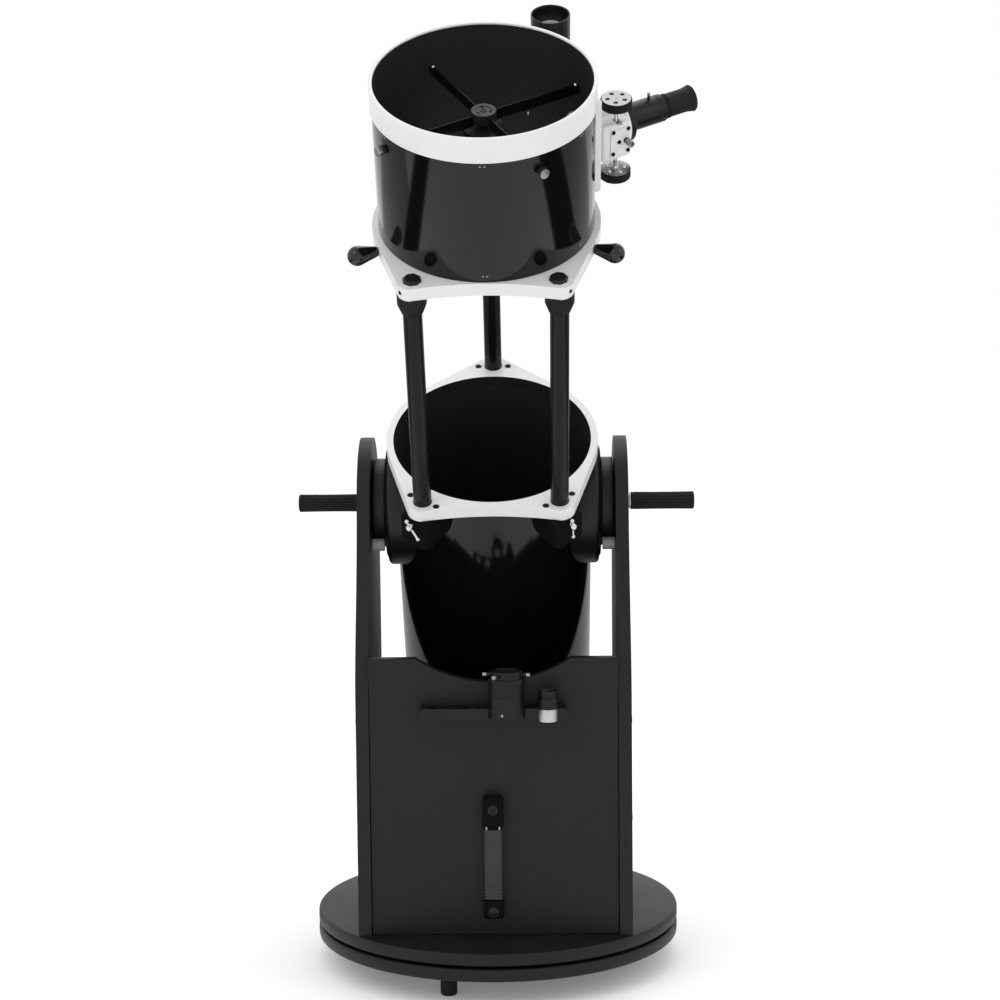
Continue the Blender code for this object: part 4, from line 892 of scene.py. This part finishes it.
def build_focus_knobs(focus):
    """Bright discs with five holes in ribbed rubber rims, on a bright axle."""
    at = focus @ move(0.2185, -0.040, 0.0)
    half, width, r = 0.0730, 0.0158, 0.0255
    axle = [(0.0, half - 0.002), (0.0032, half - 0.002), (0.0032, -half + 0.002), (0.0, -half + 0.002)]
    dress(lathe("focus_axle", axle, at, 32, 0.0004), "focus_knobs", "chrome", "focus_knobs")
    for end, flip in (("top", 0), ("bottom", 180)):
        here = at @ turn("X", flip)
        holes = [circle(0.0038, 32, spoke(0.0145, 90 + 72 * i)) for i in range(5)]
        disc = slab(f"focus_disc_{end}", [circle(r - 0.0018, 120)] + holes, half - 0.0020, half, here, 0.0005)
        dress(disc, "focus_knobs", "brushed")
        back = [(0.0, half - 0.0024), (0.0238, half - 0.0024), (0.0238, half - width), (0.0, half - width)]
        dress(lathe(f"focus_back_{end}", back, here, 64, 0.0005), "focus_knobs", "brushed")
        collar = [(0.0070, half - width), (0.0060, half - width - 0.0060), (0.0033, half - width - 0.0060),
                  (0.0033, half - width)]
        dress(lathe(f"focus_collar_{end}", collar, here, 48, 0.0005), "focus_knobs", "chrome")
        for number in range(5):
            stud = here @ move(*spoke(0.0145, 90 + 72 * number), half - width) @ turn("X", 180)
            dome = [(0.0, 0.0022), (0.0020, 0.0018), (0.0034, 0.0004), (0.0036, 0.0), (0.0, 0.0)]
            dress(lathe(f"focus_stud_{end}_{number}", dome, stud, 24, 0.0002), "focus_knobs", "chrome")
        boss = [(0.0, half + 0.0), (0.0050, half + 0.0), (0.0050, half - 0.001), (0.0, half - 0.001)]
        dress(lathe(f"focus_boss_{end}", boss, here, 32, 0.0003), "focus_knobs", "chrome")
        rim = [(r, half - 0.0010), (r, half - width + 0.0006),
               (0.0239, half - width + 0.0006), (0.0239, half - 0.0010)]
        ribs = lathe(f"focus_rim_{end}", rim, here, 240, 0.0008, (40, 0.0009, half - width, half))
        dress(ribs, "focus_knobs", "black_rubber")


def build_finder():
    at = on_tube(FINDER_CIRCLE, FINDER_ANGLE, 0.0)
    top, lens = 0.8565, 0.8400
    profile = [(0.0, lens - 0.002), (0.0270, lens - 0.002), (0.0292, top - 0.001), (0.0300, top), (0.0320, top),
               (0.0320, 0.7760), (0.0314, 0.7756), (0.0270, 0.7700), (0.0270, 0.6700), (0.0262, 0.6660),
               (0.0165, 0.6600), (0.0165, 0.6520), (0.0180, 0.6510), (0.0180, 0.6350), (0.0172, 0.6340),
               (0.0172, 0.6150), (0.0140, 0.6130), (0.0, 0.6140)]
    dress(settle(lathe("finder_tube", profile, at, 96, 0.0008)), "upper", "black_metal", "finder_scope")
    glass = [(0.0, lens + 0.0040), (0.0100, lens + 0.0034), (0.0200, lens + 0.0016), (0.0272, lens - 0.0008),
             (0.0272, lens - 0.0018), (0.0, lens - 0.0018)]
    dress(lathe("finder_lens", glass, at, FINE, 0.0), "upper", "lens_glass")
    keep("finder_bracket", "black_plastic", 0.0012)
    for number, angle in enumerate((-70, 70)):
        side = at @ turn("Z", angle) @ turn("Y", 90)
        thumbscrew(f"finder_screw_{number}", side @ move(-0.742, 0.0, 0.0333), "upper", 0.0045, 0.003, 0.007)


# Studio

def build_studio():
    bpy.ops.mesh.primitive_circle_add(vertices=96, radius=14.0, fill_type="NGON", location=(0.0, 0.0, -0.0004))
    floor = bpy.context.object
    floor.name = "floor"
    pale = finish("pale_floor", (0.92, 0.92, 0.92), 0.75, scale=3.0, tint=0.01, bump=0.0, gloss=0.0)
    pale.node_tree.nodes["Principled BSDF"].inputs["Emission Color"].default_value = (1.0, 1.0, 1.0, 1.0)
    pale.node_tree.nodes["Principled BSDF"].inputs["Emission Strength"].default_value = 0.14
    floor.data.materials.append(pale)
    world = bpy.data.worlds.new("studio")
    bpy.context.scene.world = world
    world.use_nodes = True
    world.node_tree.nodes["Background"].inputs["Color"].default_value = (1.0, 1.0, 1.0, 1.0)
    world.node_tree.nodes["Background"].inputs["Strength"].default_value = 1.0
    lamp("key", (-2.6, -3.2, 4.2), 2.6, 30.0)
    lamp("fill", (3.4, -1.6, 2.8), 2.0, 10.0)
    lamp("top", (0.4, 1.6, 4.6), 3.0, 30.0)
    flag("flag_left", (-2.42, -1.4), (-1.65, 2.5), 0.020, "dark")
    flag("flag_right", (1.70, -1.4), (3.10, 2.5), 0.020, "dark")
    flag("flag_back", (-10.0, 0.2), (10.0, 12.0), 0.018, "half_tone")
    bpy.context.scene.view_settings.view_transform = "Standard"


def lamp(name, place, size, power):
    """A square soft box that looks at the telescope."""
    light = bpy.data.lights.new(name, "AREA")
    light.shape = "SQUARE"
    light.size = size
    light.energy = power
    holder = bpy.data.objects.new(name, light)
    bpy.context.scene.collection.objects.link(holder)
    holder.location = place
    holder.visible_camera = False
    holder.rotation_euler = (Vector((0.0, 0.0, 0.8)) - Vector(place)).to_track_quat("-Z", "Y").to_euler()


def flag(name, low, high, height, material):
    """A dark strip beside the object that only reflections see, as the edge of a white sweep gives."""
    corners = [(low[0], low[1], height), (high[0], low[1], height), (high[0], high[1], height),
               (low[0], high[1], height)]
    mesh = bpy.data.meshes.new(name)
    mesh.from_pydata(corners, [], [(0, 1, 2, 3)])
    mesh.materials.append(MATERIALS[material])
    strip = bpy.data.objects.new(name, mesh)
    bpy.context.scene.collection.objects.link(strip)
    strip.visible_camera = False
    strip.visible_diffuse = False
    strip.visible_shadow = False


def build_camera():
    """Camera in front, a little above the middle, turned slightly to one side."""
    place = AXIS + Vector((0.0804, -4.0105, 1.2479))
    drop, roll = radians(5.9508), radians(0.5919)
    ahead = Vector((-0.01725 * cos(drop), 0.99985 * cos(drop), -sin(drop))).normalized()
    right = ahead.cross(Vector((0.0, 0.0, 1.0))).normalized()
    up = right.cross(ahead)
    stance = Matrix((right, up, -ahead)).transposed().to_4x4()
    lens = bpy.data.cameras.new("camera")
    lens.lens = 81.03
    lens.sensor_width = 36.0
    camera = bpy.data.objects.new("camera", lens)
    bpy.context.scene.collection.objects.link(camera)
    camera.matrix_world = Matrix.Translation(place) @ stance @ Matrix.Rotation(-roll, 4, "Z")
    bpy.context.scene.camera = camera


def main():
    build_camera()
    build_boards()
    build_panels()
    build_extension_tube()
    build_rack_eyepiece()
    build_carry_handle()
    build_bushes()
    build_lower_tube()
    build_altitude()
    build_castings()
    build_struts()
    build_upper_tube()
    build_spider()
    build_focuser()
    build_finder()
    build_studio()


main()
